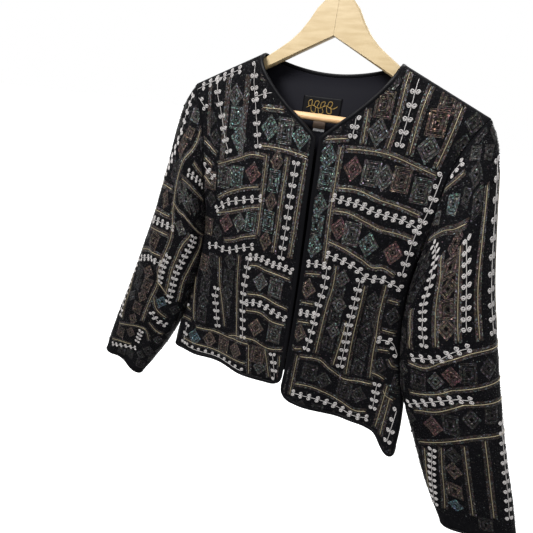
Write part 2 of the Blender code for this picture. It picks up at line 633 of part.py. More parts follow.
def make_hook():
    """Wire hook: a stem out of the hump, and a round eye open on one side."""
    radius = HOOK_INNER + HOOK_WIRE
    foot = NECK_LEVEL + HUMP_TOP + SEAM + 0.0002
    angles = np.radians(np.linspace(-58, 198, 25))
    eye = np.stack([radius * np.cos(angles), -HOOK_INNER + radius * np.sin(angles)], axis=-1)
    neck = np.array([[0.0, foot], [0.0, foot + 0.009], [0.0004, -0.0480], [0.0023, -0.0425], [0.0060, -0.0380]])
    route = np.concatenate([neck, eye])
    along = np.gradient(route, axis=0)
    along[0] = (0.0, 1.0)
    along /= np.linalg.norm(along, axis=-1, keepdims=True)
    turn = np.radians(np.arange(0, 360, 36))
    sideways = np.stack([along[:, 1], -along[:, 0]], axis=-1)
    ring = HOOK_WIRE * np.cos(turn)[None, :, None] * sideways[:, None, :] + route[:, None, :]
    y = np.broadcast_to(HOOK_WIRE * np.sin(turn)[None, :], ring.shape[:2])
    points = np.stack([ring[..., 0], y, ring[..., 1]], axis=-1)
    n, k = points.shape[:2]
    faces = [tuple(range(k)), tuple((n - 1) * k + j for j in range(k))[::-1]]
    for i in range(n - 1):
        for j in range(k):
            a, b = i * k + j, i * k + (j + 1) % k
            faces.append((a, b, b + k, a + k))
    add_object("hook", points.reshape(-1, 3), faces, "steel")


def main():
    for old in list(bpy.data.objects):
        bpy.data.objects.remove(old)
    left, left_normals = make_front(-1)
    right, right_normals = make_front(1)
    back, back_normals = make_back()
    make_lining(back, back_normals)
    make_sleeve(-1, left, left_normals, back, back_normals)
    make_sleeve(1, right, right_normals, back, back_normals)
    patch_on_lining("label", -0.037, 0.020, 0.045, 0.072, SEAM, 0.0007, "label", columns=7)
    patch_on_lining("size_tag", -0.016, 0.002, 0.080, 0.097, SEAM, 0.0006, "size_tag", columns=3)
    for side in (-1, 1):
        make_hanger_arm(side)
    make_bar()
    make_hook()


main()
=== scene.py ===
import math

import bpy
import numpy as np
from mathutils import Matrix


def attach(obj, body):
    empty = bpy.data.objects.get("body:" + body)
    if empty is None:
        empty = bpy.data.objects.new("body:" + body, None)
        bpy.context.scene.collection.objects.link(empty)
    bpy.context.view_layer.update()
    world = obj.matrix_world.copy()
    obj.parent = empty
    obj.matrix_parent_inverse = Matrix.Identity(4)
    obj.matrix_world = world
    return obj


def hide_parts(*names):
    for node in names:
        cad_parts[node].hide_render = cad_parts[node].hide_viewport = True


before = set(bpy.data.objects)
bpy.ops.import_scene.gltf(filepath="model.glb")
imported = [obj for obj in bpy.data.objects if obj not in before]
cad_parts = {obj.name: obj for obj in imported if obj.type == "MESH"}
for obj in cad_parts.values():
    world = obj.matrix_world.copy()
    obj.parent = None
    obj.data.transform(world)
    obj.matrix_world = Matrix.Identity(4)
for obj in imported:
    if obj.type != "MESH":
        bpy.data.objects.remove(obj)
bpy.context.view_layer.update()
rng = np.random.default_rng(7)
mm = 0.001

# The jacket's sizes, the same as the frame's
sizes = {
    "neckLevel": -0.140,
    "neckHalf": 0.098,
    "tipHalf": 0.205,
    "shoulderDrop": 0.047,
    "neckFrontDrop": 0.0985,
    "neckBackDrop": 0.019,
    "armpitDrop": 0.225,
    "shoulderRound": 0.035,
    "shoulderSquare": 2.6,
    "cloth": 0.0018,
    "lining": 0.0010,
    "seam": 0.0003,
    "bindingWide": 0.0045,
    "bindingThick": 0.0032,
    "bindingLap": 0.0012,
    "hemBindingWide": 0.0030,
    "cornerRound": 0.020,
    "cornerRise": 0.018,
}
# Lengths that count as none, and what keeps a division from one by nothing
tiny = 1e-6
notZero = 1e-9
leastLength = 1e-12

# Half width of the body's section, and its depth to the front and to the back
body = {
    "drop": [0.0, 0.06, 0.1, 0.14, 0.18, 0.21, 0.225, 0.25, 0.28, 0.34, 0.4, 0.44, 0.48, 0.53],
    "half": [0.25, 0.24, 0.225, 0.208, 0.19, 0.177, 0.172, 0.17, 0.17, 0.176, 0.19, 0.202, 0.209, 0.212],
    "front": [0.021, 0.022, 0.023, 0.024, 0.025, 0.025, 0.025, 0.026, 0.026, 0.027, 0.028, 0.029, 0.03,
              0.031],
    "back": [0.021, 0.021, 0.021, 0.022, 0.022, 0.022, 0.022, 0.022, 0.023, 0.024, 0.025, 0.026, 0.027,
             0.028],
}
armhole = {
    "drop": [0.047, 0.080, 0.112, 0.140, 0.180, 0.210, 0.225],
    "half": [0.205, 0.189, 0.180, 0.177, 0.1755, 0.1735, 0.172],
}
neckline = {
    "drop": [0.0985, 0.089, 0.080, 0.0645, 0.0475, 0.030, 0.0115, 0.000],
    "half": [0.006, 0.017, 0.028, 0.048, 0.067, 0.083, 0.0945, 0.098],
}
opening = {
    "drop":   [0.0985, 0.200, 0.300, 0.400, 0.510],
    "middle": [0.008, 0.012, 0.016, 0.018, 0.018],
    "gap":    [0.0040, 0.0040, 0.0032, 0.0024, 0.0020],
}
hemLeft = {"x": [-0.214, -0.10, 0.02], "drop": [0.499, 0.493, 0.490]}
hemRight = {"x": [0.00, 0.10, 0.160, 0.178, 0.192, 0.204, 0.214],
            "drop": [0.503, 0.502, 0.500, 0.502, 0.513, 0.518, 0.517]}
hemBack = {"x": [-0.214, -0.10, 0.0, 0.10, 0.165, 0.195, 0.214],
           "drop": [0.499, 0.497, 0.497, 0.499, 0.501, 0.512, 0.517]}

# Vertical folds: a ridge line from top to bottom, half its width, and how far it stands out.
# The last rows of each table are small creases that only this script adds.
foldColumns = ("xTop", "dropTop", "xBottom", "dropBottom", "halfWidth", "height")
foldsLeft = [
    (-0.060, 0.300, -0.058, 0.540, 0.024, 0.0055),
    (-0.120, 0.230, -0.112, 0.540, 0.026, -0.0050),
    (-0.158, 0.300, -0.160, 0.540, 0.022, 0.0050),
    (-0.010, 0.330, -0.004, 0.540, 0.020, -0.0040),
    (-0.125, 0.150, -0.080, 0.300, 0.030, 0.0025),
]
foldsRight = [
    (0.052, 0.300, 0.056, 0.540, 0.024, 0.0065),
    (0.122, 0.200, 0.112, 0.540, 0.026, -0.0080),
    (0.085, 0.150, 0.090, 0.300, 0.030, 0.0030),
    (0.158, 0.400, 0.158, 0.540, 0.018, -0.0045),
    (0.028, 0.440, 0.024, 0.540, 0.016, 0.0050),
]
foldsBack = [
    (-0.120, 0.230, -0.135, 0.540, 0.026, 0.0060),
    (-0.060, 0.250, -0.066, 0.540, 0.026, -0.0050),
    (0.000, 0.200, 0.005, 0.540, 0.030, 0.0050),
    (0.066, 0.260, 0.072, 0.540, 0.024, -0.0055),
    (0.128, 0.220, 0.140, 0.540, 0.026, 0.0060),
]
creaseColumns = ("x0", "drop0", "x1", "drop1", "halfWidth", "height")
bodyCreases = {
    "left": [
        (-0.150, 0.135, -0.070, 0.190, 0.008, 0.0016),
        (-0.165, 0.200, -0.090, 0.262, 0.009, -0.0018),
        (-0.160, 0.270, -0.100, 0.300, 0.008, 0.0014),
        (-0.030, 0.150, -0.045, 0.300, 0.010, 0.0012),
        (-0.088, 0.330, -0.078, 0.470, 0.009, -0.0022),
        (-0.136, 0.330, -0.140, 0.470, 0.008, 0.0020),
        (-0.185, 0.380, -0.190, 0.480, 0.009, -0.0022),
        (-0.030, 0.400, -0.026, 0.480, 0.008, 0.0018),
        (-0.100, 0.040, -0.085, 0.110, 0.009, -0.0012),
    ],
    "right": [
        (0.150, 0.130, 0.075, 0.180, 0.008, 0.0016),
        (0.160, 0.205, 0.090, 0.250, 0.009, -0.0018),
        (0.155, 0.250, 0.100, 0.300, 0.008, 0.0014),
        (0.124, 0.290, 0.122, 0.430, 0.009, -0.0055),
        (0.140, 0.300, 0.146, 0.440, 0.007, 0.0026),
        (0.098, 0.320, 0.092, 0.440, 0.008, 0.0022),
        (0.075, 0.350, 0.078, 0.480, 0.008, -0.0018),
        (0.182, 0.420, 0.186, 0.500, 0.008, -0.0030),
        (0.112, 0.045, 0.100, 0.110, 0.009, -0.0012),
    ],
    "back": [
        (-0.150, 0.135, -0.070, 0.190, 0.009, 0.0016),
        (0.155, 0.140, 0.075, 0.200, 0.009, 0.0016),
        (-0.092, 0.300, -0.100, 0.470, 0.009, -0.0022),
        (0.034, 0.320, 0.040, 0.470, 0.009, -0.0020),
        (0.100, 0.300, 0.106, 0.480, 0.008, 0.0020),
        (-0.030, 0.330, -0.034, 0.460, 0.008, 0.0018),
        (0.165, 0.330, 0.172, 0.470, 0.009, -0.0022),
    ],
}
# The share of its length over which a fold grows and over which a crease fades at each end, the power of
# the oval section, and how fast the columns turn to an even spacing above the armpit
forms = {"foldGrows": 0.7, "creaseFades": 0.35, "ovalPower": 0.25, "turnsEven": 2}
# Where the hem's ends move forward: a Gaussian across, a step downwards
sideSwing = {"x": 0.208, "halfWidth": 0.023, "dropTop": 0.400, "dropBottom": 0.520, "forward": 0.024}
leftSwing = {"x": -0.212, "halfWidth": 0.030, "dropTop": 0.420, "dropBottom": 0.520, "forward": 0.006}

settleRounds = 24
finer = {"columns": 4, "rows": 4, "sleeveSteps": 120}
neckRow = (sizes["armpitDrop"] - sizes["neckFrontDrop"]) / sizes["armpitDrop"]
shoulderRows = [0.0, 0.12, 0.25, 0.36, 0.47, neckRow, 0.65, 0.74, 0.82, 0.89, 0.94, 0.97, 0.988, 0.997, 1.0]
lowerRows = 12
frontColumns = [0.0, 0.012, 0.04, 0.08, 0.14, 0.22, 0.31, 0.40, 0.49, 0.58, 0.67, 0.76, 0.84, 0.90, 0.95, 1.0]
backColumns = [0.0, 0.10, 0.20, 0.29, 0.36, 0.415, 0.452, 0.474, 0.49, 0.58, 0.68, 0.78, 0.89, 1.0]
neckColumns = 8


# A cubic curve through rows of values with given slopes, read at new places.
def hermite(x, y, slope, at):
    k = np.clip(np.searchsorted(x, at, side="right") - 1, 0, len(x) - 2)
    step = x[k + 1] - x[k]
    t = (at - x[k]) / step
    while t.ndim < y[k].ndim:
        t = t[..., None]
        step = step[..., None]
    start = (2 * t**3 - 3 * t**2 + 1) * y[k] + (t**3 - 2 * t**2 + t) * step * slope[k]
    return start + (3 * t**2 - 2 * t**3) * y[k + 1] + (t**3 - t**2) * step * slope[k + 1]


# A smooth curve through a table's rows, flat beyond its two ends.
def smoothTable(table, key, column, at):
    x = np.array(table[key], float)
    y = np.array(table[column], float)
    if x[0] > x[-1]:
        x, y = x[::-1], y[::-1]
    return hermite(x, y, np.gradient(y, x), np.clip(np.asarray(at, float), x[0], x[-1]))


# The 3t^2 - 2t^3 step from 0 to 1.
def ease(t):
    t = np.clip(t, 0.0, 1.0)
    return t * t * (3 - 2 * t)


# Height of the shoulder ridge below the neck level: a straight slope outwards from the neck point.
def shoulderLine(x):
    slope = sizes["shoulderDrop"] / (sizes["tipHalf"] - sizes["neckHalf"])
    return np.maximum(np.abs(x) - sizes["neckHalf"], 0.0) * slope


# The back neck hangs in a parabola between the neck points.
def backNeck(x):
    return sizes["neckBackDrop"] * np.clip(1 - (x / sizes["neckHalf"]) ** 2, 0, 1)


# Folds are Gaussian ridges about slanting lines that grow downwards; creases fade at both ends.
def foldHeight(folds, creases, x, drop):
    total = np.zeros_like(x)
    for row in folds:
        f = dict(zip(foldColumns, row))
        along = (drop - f["dropTop"]) / (f["dropBottom"] - f["dropTop"])
        ridge = f["xTop"] + (f["xBottom"] - f["xTop"]) * along
        total += f["height"] * np.exp(-((x - ridge) / f["halfWidth"]) ** 2) * ease(along / forms["foldGrows"])
    for row in creases:
        c = dict(zip(creaseColumns, row))
        dx, dd = c["x1"] - c["x0"], c["drop1"] - c["drop0"]
        size = math.hypot(dx, dd)
        along = ((x - c["x0"]) * dx + (drop - c["drop0"]) * dd) / size**2
        across = ((x - c["x0"]) * dd - (drop - c["drop0"]) * dx) / size
        fade = ease(along / forms["creaseFades"]) * ease((1 - along) / forms["creaseFades"])
        total += c["height"] * np.exp(-(across / c["halfWidth"]) ** 2) * fade
    return total


# Both layers move forward together near the hem's ends, by a Gaussian about each side.
def swing(x, drop):
    total = np.zeros_like(x)
    for s in (sideSwing, leftSwing):
        down = ease((drop - s["dropTop"]) / (s["dropBottom"] - s["dropTop"]))
        total += s["forward"] * np.exp(-((x - s["x"]) / s["halfWidth"]) ** 2) * down
    return total


# The body's outer face: a flattened oval section, closed over the shoulder ridge, plus the folds.
def bodyPoint(x, drop, layer, folds, creases):
    half = smoothTable(body, "drop", "half", drop)
    depth = smoothTable(body, "drop", layer, drop)
    across = np.clip(1 - (x / half) ** 2, 0, 1) ** forms["ovalPower"]
    below = np.clip((drop - shoulderLine(x)) / sizes["shoulderRound"], 0, 1)
    over = np.clip(1 - (1 - below) ** sizes["shoulderSquare"], 0, 1) ** (1 / sizes["shoulderSquare"])
    reach = (depth + foldHeight(folds, creases, x, drop)) * across * over
    y = (-1 if layer == "front" else 1) * reach - swing(x, drop)
    return np.stack([x, y, sizes["neckLevel"] - drop], axis=-1)


# Columns between two x values, spaced evenly in the angle of the section's arcsine.
def spread(inner, outer, share, half):
    a0 = np.arcsin(np.clip(inner / half, -1, 1))
    a1 = np.arcsin(np.clip(outer / half, -1, 1))
    return half * np.sin(a0 + (a1 - a0) * share)


# A list with its steps cut into equal parts.
def subdivided(values, parts):
    values = np.array(values, float)
    return np.interp(np.arange((len(values) - 1) * parts + 1) / parts, np.arange(len(values)), values)


# Hem height, with the front corner rounded off beside the opening.
def hemDrop(hem, x, openingX):
    bottom = smoothTable(hem, "x", "drop", x)
    if hem is hemBack:
        return bottom
    away = np.clip(1 - np.abs(x - openingX) / sizes["cornerRound"], 0, 1)
    return bottom - sizes["cornerRise"] * (1 - np.sqrt(1 - away**2))


# x of one front's edge: down the opening, or round the neckline above it.
def openingEdge(side):
    def alongOpening(drop):
        middle = smoothTable(opening, "drop", "middle", drop)
        gap = smoothTable(opening, "drop", "gap", drop)
        return middle + side * (gap / 2 + sizes["seam"] + sizes["bindingWide"])

    shift = alongOpening(sizes["neckFrontDrop"]) - side * neckline["half"][0]

    def edge(drop):
        drop = np.asarray(drop, float)
        roundNeck = side * smoothTable(neckline, "drop", "half", drop)
        roundNeck = roundNeck + shift * np.clip(drop / sizes["neckFrontDrop"], 0, 1) ** 2
        return np.where(drop >= sizes["neckFrontDrop"] - tiny, alongOpening(drop), roundNeck)
    return edge


# Columns of the back, with one of them exactly on the neck point.
def neckSpaced(columns, edge, side, share):
    inside = side * columns / share * sizes["neckHalf"]
    outside = side * sizes["neckHalf"] + (columns - share) / (1 - share) * (edge - side * sizes["neckHalf"])
    return np.where(columns <= share, inside, outside)


# x and drop of a panel's grid, row after row from the hem to the shoulder, settled by repeated rounds.
def panelGrid(innerX, hem, columns, side, neckShare=0.0):
    columns = subdivided(columns, finer["columns"])
    armpit = sizes["armpitDrop"]
    rows = lowerRows * finer["rows"]
    gridX, gridDrop = [], []
    for r in np.arange(rows) / rows:
        drop = np.full(len(columns), armpit + (hem["drop"][-1] - armpit) * (1 - r))
        for _ in range(settleRounds):
            half = smoothTable(body, "drop", "half", drop)
            x = spread(innerX(drop), side * half, columns, half)
            drop = armpit + (hemDrop(hem, x, innerX(drop)) - armpit) * (1 - r)
        gridX.append(x)
        gridDrop.append(drop)
    for r in subdivided(shoulderRows, finer["rows"]):
        drop = np.full(len(columns), armpit * (1 - r))
        for _ in range(settleRounds):
            top = shoulderLine(x)
            if neckShare:
                top = np.where(np.abs(x) < sizes["neckHalf"], backNeck(x), top)
            drop = armpit - r * (armpit - top)
            half = smoothTable(body, "drop", "half", drop[-1])
            edge = side * smoothTable(armhole, "drop", "half", drop[-1])
            start = innerX(drop[0])
            even = start + (edge - start) * columns
            if neckShare:
                even = neckSpaced(columns, edge, side, neckShare)
            turned = spread(start, side * half, columns, half)
            turned = start + (turned - start) * (edge - start) / (side * half - start)
            x = turned + (even - turned) * ease(r * forms["turnsEven"])
        gridX.append(x)
        gridDrop.append(drop)
    gridDrop[-1][-1] = sizes["shoulderDrop"]
    return np.array(gridX), np.array(gridDrop)


# Unit normals of a grid from its neighbours' differences.
def gridNormals(points, wrap=False):
    along = np.gradient(points, axis=0)
    if wrap:
        across = (np.roll(points, -1, axis=1) - np.roll(points, 1, axis=1)) / 2
    else:
        across = np.gradient(points, axis=1)
    return unit(np.cross(along, across))


# Vectors over their own length, which counts as no less than a very small number.
def unit(v):
    return v / np.maximum(np.linalg.norm(v, axis=-1, keepdims=True), leastLength)


# A body panel's normals, turned so that they point out of the garment.
def faceOut(points, normals):
    row, column = normals.shape[0] // 2, normals.shape[1] // 2
    return normals if normals[row, column, 1] * points[row, column, 1] > 0 else -normals


# y of the surface where front and back meet.
def seamY(points):
    return -swing(points[..., 0], sizes["neckLevel"] - points[..., 2])


# Outer points, normals and inner points of one layer; edges on the side seam keep half a seam's gap.
def bodyPanel(layer, gridX, gridDrop, folds, creases):
    outer = bodyPoint(gridX, gridDrop, layer, folds, creases)
    normals = faceOut(outer, gridNormals(outer))
    onSeam = np.abs(outer[..., 1] - seamY(outer)) < tiny
    normals[onSeam, 1] = 0.0
    normals = unit(normals)
    inner = outer - normals * sizes["cloth"]
    side = -1 if layer == "front" else 1
    for grid in (outer, inner):
        grid[onSeam, 1] = seamY(grid)[onSeam] + side * sizes["seam"] / 2
    return outer, normals, inner


# Quads of a grid whose first index starts at "base"; wrap joins the last column to the first.
def gridFaces(rows, cols, base=0, wrap=False, flip=False):
    last = cols if wrap else cols - 1
    i, j = np.meshgrid(np.arange(rows - 1), np.arange(last), indexing="ij")
    i, j = i.ravel(), j.ravel()
    k = (j + 1) % cols
    quads = np.stack([i * cols + j, i * cols + k, (i + 1) * cols + k, (i + 1) * cols + j], axis=-1) + base
    return quads[:, ::-1] if flip else quads


# Quads that close a ring of an even number of points as a fan from its first one.
def capFaces(sides, base, flip=False):
    j = np.arange(1, sides - 1, 2)
    quads = np.stack([0 * j, j, j + 1, j + 2], axis=-1) + base
    return quads[:, ::-1] if flip else quads


# Quads of a tube of rings with both ends closed; "flip" turns all of them round.
def tubeFaces(rings, sides, flip):
    return np.concatenate([gridFaces(rings, sides, wrap=True, flip=flip), capFaces(sides, 0, not flip),
                           capFaces(sides, (rings - 1) * sides, flip)])


# Quads that join the outer grid's rim to the inner grid's, with both grids in one list of points.
def rimFaces(rows, cols, wrap):
    n = rows * cols
    edges = []
    j = np.arange(cols if wrap else cols - 1)
    k = (j + 1) % cols
    low, high = 0, (rows - 1) * cols
    edges.append(np.stack([low + k, low + j, n + low + j, n + low + k], axis=-1))
    edges.append(np.stack([high + j, high + k, n + high + k, n + high + j], axis=-1))
    if not wrap:
        i = np.arange(rows - 1) * cols
        edges.append(np.stack([i, i + cols, n + i + cols, n + i], axis=-1))
        right = i + cols - 1
        edges.append(np.stack([right + cols, right, n + right, n + right + cols], axis=-1))
    return np.concatenate(edges)


# A mesh from whole arrays of points and quads (or triangles), with optional point colours and UVs.
def meshFrom(name, points, faces, colour=None, uv=None, smooth=True):
    points = np.asarray(points, np.float32).reshape(-1, 3)
    faces = np.asarray(faces, np.int32)
    count, corners = faces.shape
    mesh = bpy.data.meshes.new(name)
    mesh.vertices.add(len(points))
    mesh.vertices.foreach_set("co", points.ravel())
    mesh.loops.add(count * corners)
    mesh.loops.foreach_set("vertex_index", faces.ravel())
    mesh.polygons.add(count)
    mesh.polygons.foreach_set("loop_start", np.arange(0, count * corners, corners, dtype=np.int32))
    mesh.polygons.foreach_set("use_smooth", np.full(count, smooth))
    if uv is not None:
        layer = mesh.uv_layers.new(name="pattern")
        layer.data.foreach_set("uv", np.asarray(uv, np.float32).reshape(-1, 2)[faces.ravel()].ravel())
    if colour is not None:
        tint = mesh.attributes.new("tint", "FLOAT_COLOR", "POINT")
        whole = np.concatenate([colour, np.ones((len(colour), 1))], axis=1)
        tint.data.foreach_set("color", whole.astype(np.float32).ravel())
    mesh.update(calc_edges=True)
    mesh.validate()
    return mesh


# Puts a finished mesh in the scene on the root body, with its material, and hides the parts it replaces.
def place(name, mesh, material, slotName, replaced=()):
    obj = bpy.data.objects.new(name, mesh)
    bpy.context.scene.collection.objects.link(obj)
    obj.data.materials.append(material)
    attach(obj, "root")
    if replaced:
        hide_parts(*replaced)
    return obj


# A closed wall between an outer and an inner grid, faces outwards.
def wall(name, outer, inner, uv, material, slotName, replaced, wrap=False):
    rows, cols = outer.shape[:2]
    normal = gridNormals(outer, wrap)
    outward = np.sum(normal * (outer - inner)) > 0
    rim = rimFaces(rows, cols, wrap)
    faces = np.concatenate([gridFaces(rows, cols, 0, wrap, outward), rim[:, ::-1] if outward else rim,
                            gridFaces(rows, cols, rows * cols, wrap, not outward)])
    points = np.concatenate([outer.reshape(-1, 3), inner.reshape(-1, 3)])
    both = np.concatenate([uv.reshape(-1, 2)] * 2)
    return place(name, meshFrom(name, points, faces, uv=both), material, slotName, replaced)


# The finishes. "ramp" colours and "bump" raises the surface by a noise or Voronoi texture of a given scale;
# bump gives strength and distance. "stretch" draws the noise out into grain.
finishes = {
    # The cloth's ramp lifts a few beads to a lighter tone: partly their own tone, partly painted sparkle.
    "cloth": {"colour": (0.006, 0.006, 0.007), "roughness": 0.70, "specular": 0.05, "kind": "Voronoi",
              "scale": 520.0, "bump": (0.5, 0.0006),
              "ramp": [(0.0, (0.002, 0.002, 0.003)), (0.8, (0.005, 0.005, 0.006)),
                       (1.0, (0.016, 0.015, 0.016))]},
    "sequin": {"colour": (0.05, 0.05, 0.05), "roughness": 0.32, "metallic": 0.12, "specular": 0.10,
               "attribute": "tint"},
    "curl": {"colour": (0.58, 0.55, 0.54), "roughness": 0.55, "scale": 900.0,
             "ramp": [(0.3, (0.34, 0.32, 0.31)), (0.7, (0.70, 0.67, 0.66))]},
    "gold": {"colour": (0.40, 0.31, 0.15), "roughness": 0.42, "metallic": 0.45, "scale": 1200.0,
             "ramp": [(0.3, (0.21, 0.17, 0.10)), (0.7, (0.54, 0.47, 0.31))]},
    "binding": {"colour": (0.003, 0.003, 0.004), "roughness": 0.40, "specular": 0.10, "scale": 1500.0,
                "bump": (0.25, 0.0003)},
    "lining": {"colour": (0.010, 0.010, 0.014), "roughness": 0.55, "specular": 0.09, "scale": 420.0,
               "bump": (0.15, 0.0004)},
    "label": {"colour": (0.003, 0.003, 0.004), "roughness": 0.50, "specular": 0.12, "scale": 1800.0,
              "bump": (0.2, 0.0002)},
    "thread": {"colour": (0.42, 0.27, 0.06), "roughness": 0.55},
    "tag_brown": {"colour": (0.16, 0.11, 0.08), "roughness": 0.6},
    "size_tag": {"colour": (0.72, 0.72, 0.73), "roughness": 0.6, "scale": 1600.0, "bump": (0.2, 0.0002)},
    "wood": {"colour": (0.58, 0.45, 0.26), "roughness": 0.38, "scale": 3.0, "detail": 5.0,
             "stretch": (9.0, 60.0, 60.0),
             "ramp": [(0.38, (0.50, 0.375, 0.20)), (0.62, (0.58, 0.45, 0.26))]},
    "barWood": {"colour": (0.82, 0.52, 0.27), "roughness": 0.38, "scale": 3.0, "detail": 5.0,
                "stretch": (9.0, 60.0, 60.0),
                "ramp": [(0.38, (0.72, 0.43, 0.20)), (0.62, (0.82, 0.52, 0.27))]},
    "steel": {"colour": (0.60, 0.60, 0.62), "roughness": 0.22, "metallic": 1.0, "scale": 300.0,
              "ramp": [(0.3, (0.52, 0.52, 0.54)), (0.7, (0.66, 0.66, 0.68))]},
}


# A texture node read in object coordinates, through a Mapping node where the grain is drawn out.
def addTexture(tree, finish):
    kind = finish.get("kind", "Noise")
    node = tree.nodes.new("ShaderNodeTex" + kind)
    node.inputs["Scale"].default_value = finish["scale"]
    if kind == "Noise":
        node.inputs["Detail"].default_value = finish.get("detail", 2.0)
    source = tree.nodes.new("ShaderNodeTexCoord").outputs["Object"]
    if "stretch" in finish:
        grain = tree.nodes.new("ShaderNodeMapping")
        grain.inputs["Scale"].default_value = finish["stretch"]
        tree.links.new(source, grain.inputs["Vector"])
        source = grain.outputs["Vector"]
    tree.links.new(source, node.inputs["Vector"])
    return node


# A colour ramp from a list of (place, colour), linked to the shader's base colour.
def addRamp(tree, shader, source, stops):
    node = tree.nodes.new("ShaderNodeValToRGB")
    elements = node.color_ramp.elements
    while len(elements) < len(stops):
        elements.new(0.5)
    for element, (at, colour) in zip(elements, stops):
        element.position = at
        element.color = (*colour, 1.0)
    tree.links.new(source, node.inputs["Fac"])
    tree.links.new(node.outputs["Color"], shader.inputs["Base Color"])


# Fine bumps from a texture's value.
def addBump(tree, shader, source, strength, distance):
    node = tree.nodes.new("ShaderNodeBump")
    node.inputs["Strength"].default_value = strength
    node.inputs["Distance"].default_value = distance
    tree.links.new(source, node.inputs["Height"])
    tree.links.new(node.outputs["Normal"], shader.inputs["Normal"])


# One node material: constant values on the shader's own sockets, then whatever varies them.
def makeMaterial(name, finish):
    made = bpy.data.materials.new(name)
    made.use_nodes = True
    tree = made.node_tree
    shader = tree.nodes["Principled BSDF"]
    shader.inputs["Base Color"].default_value = (*finish["colour"], 1.0)
    shader.inputs["Roughness"].default_value = finish["roughness"]
    shader.inputs["Metallic"].default_value = finish.get("metallic", 0.0)
    shader.inputs["Specular IOR Level"].default_value = finish.get("specular", 0.5)
    if "scale" in finish:
        node = addTexture(tree, finish)
        voronoi = finish.get("kind") == "Voronoi"
        if "ramp" in finish:
            addRamp(tree, shader, node.outputs["Color" if voronoi else "Fac"], finish["ramp"])
        if "bump" in finish:
            addBump(tree, shader, node.outputs["Distance" if voronoi else "Fac"], *finish["bump"])
    if "attribute" in finish:
        tint = tree.nodes.new("ShaderNodeAttribute")
        tint.attribute_name = finish["attribute"]
        tree.links.new(tint.outputs["Color"], shader.inputs["Base Color"])
    return made


# How far the beadwork keeps from each edge of a panel, and the step that slopes are measured with
margins = {"armhole": 0.0015, "sideShare": 0.985, "shoulder": 0.004, "opening": 0.0022, "hem": 0.0020,
           "neck": 0.004, "sleeveTop": 0.004, "cuff": 0.003, "step": 0.0006}


# A sampler of one body panel: points, normals (the cross product of small steps both ways) and whether each
# place lies on the panel.
def bodySampler(layer, side, folds, creases, hem, edge):
    facing = -1 if layer == "front" else 1

    def surface(x, drop):
        return bodyPoint(x, drop, layer, folds, creases)

    def sample(uv):
        x, drop = uv[:, 0], uv[:, 1]
        step = margins["step"]
        points = surface(x, drop)
        across = surface(x + step, drop) - surface(x - step, drop)
        down = surface(x, drop + step) - surface(x, drop - step)
        normal = unit(np.cross(across, down))
        normal *= np.where(normal[:, 1:2] * facing < 0, -1, 1)
        besideSleeve = smoothTable(armhole, "drop", "half", drop)
        besideSeam = smoothTable(body, "drop", "half", drop) * margins["sideShare"]
        outside = np.where(drop < sizes["armpitDrop"], besideSleeve, besideSeam)
        inside = np.abs(x) < outside - margins["armhole"]
        inside &= drop > shoulderLine(x) + margins["shoulder"]
        if layer == "front":
            start = edge(drop)
            inside &= (x - start) * side > margins["opening"]
            inside &= drop < hemDrop(hem, x, start) - margins["hem"]
        else:
            inside &= drop < hemDrop(hem, x, 0) - margins["hem"]
            inside &= drop > np.where(np.abs(x) < sizes["neckHalf"], backNeck(x), 0) + margins["neck"]
        return points, normal, inside
    return sample


# Arcs round a sleeve that its sampler covers, in mm: from the first to the last by an even step
sleeveArcs = {"first": -210, "last": 211, "step": 1.5}


# A sampler of a sleeve: the tube resampled at even arcs round each ring, read by bilinear weights.
def sleeveSampler(tube, normals, length):
    rows = tube.shape[0]
    closed = np.concatenate([tube, tube[:, :1]], axis=1)
    closedNormals = np.concatenate([normals, normals[:, :1]], axis=1)
    arcs = np.arange(sleeveArcs["first"], sleeveArcs["last"], sleeveArcs["step"]) * mm
    table = np.zeros((rows, len(arcs), 6))
    rounds = np.zeros(rows)
    for i in range(rows):
        steps = np.linalg.norm(np.diff(closed[i], axis=0), axis=-1)
        along = np.concatenate([[0], np.cumsum(steps)])
        rounds[i] = along[-1]
        for axis in range(3):
            table[i, :, axis] = np.interp(arcs % along[-1], along, closed[i, :, axis])
            table[i, :, axis + 3] = np.interp(arcs % along[-1], along, closedNormals[i, :, axis])

    def sample(uv):
        a = np.clip((uv[:, 0] - arcs[0]) / (arcs[1] - arcs[0]), 0, len(arcs) - 1.001)
        r = np.clip(uv[:, 1] / length * (rows - 1), 0, rows - 1.001)
        i, j = r.astype(int), a.astype(int)
        s, t = (r - i)[:, None], (a - j)[:, None]
        found = (table[i, j] * (1 - s) * (1 - t) + table[i + 1, j] * s * (1 - t)
                 + table[i, j + 1] * (1 - s) * t + table[i + 1, j + 1] * s * t)
        inside = np.abs(uv[:, 0]) < rounds[i] / 2
        inside &= (uv[:, 1] > margins["sleeveTop"]) & (uv[:, 1] < length - margins["cuff"])
        return found[:, :3], unit(found[:, 3:]), inside
    return sample


# The beadwork. Lengths in mm; a sequin's size is its length and its width.
beads = {
    "sequinStep": 1.9,
    "rowOffsets": (1.6, 2.8, 4.0),
    "rowStep": 1.9,
    # Painted shade on the rows beside the cords, growing from one drop to the next
    "rowPaintedShade": {"drop": (200, 320), "shade": (1.0, 0.60)},
    "bandStep": 1.25,
    "motifRing": 1.55,
    "motifHeart": 0.3,
    "motifShades": (0.8, 1.1, 0.35, 0.95, 0.95, 0.25, 0.8, 0.5),
    "motifGrow": {"diamond": (1.15, 1.20), "square": (0.97, 1.16)},
    "middleColour": 0.001,
    "sizeVaries": (0.8, 1.1),
    "shadeVaries": (0.5, 1.5),
    "hueVaries": (0.80, 1.20),
    # The share of sequins brightened as painted glints, and by how much
    "paintedGlintShare": 0.05,
    "paintedGlint": 3.0,
    "filler": 2.7,
    "scatter": 0.4,
    "cordSides": 4,
    "cordTaper": 0.15,
    "cord": {"step": 3.0, "radius": 0.54, "lift": 1.0},
    "stem": {"step": 2.5, "radius": 0.45, "lift": 0.9},
}
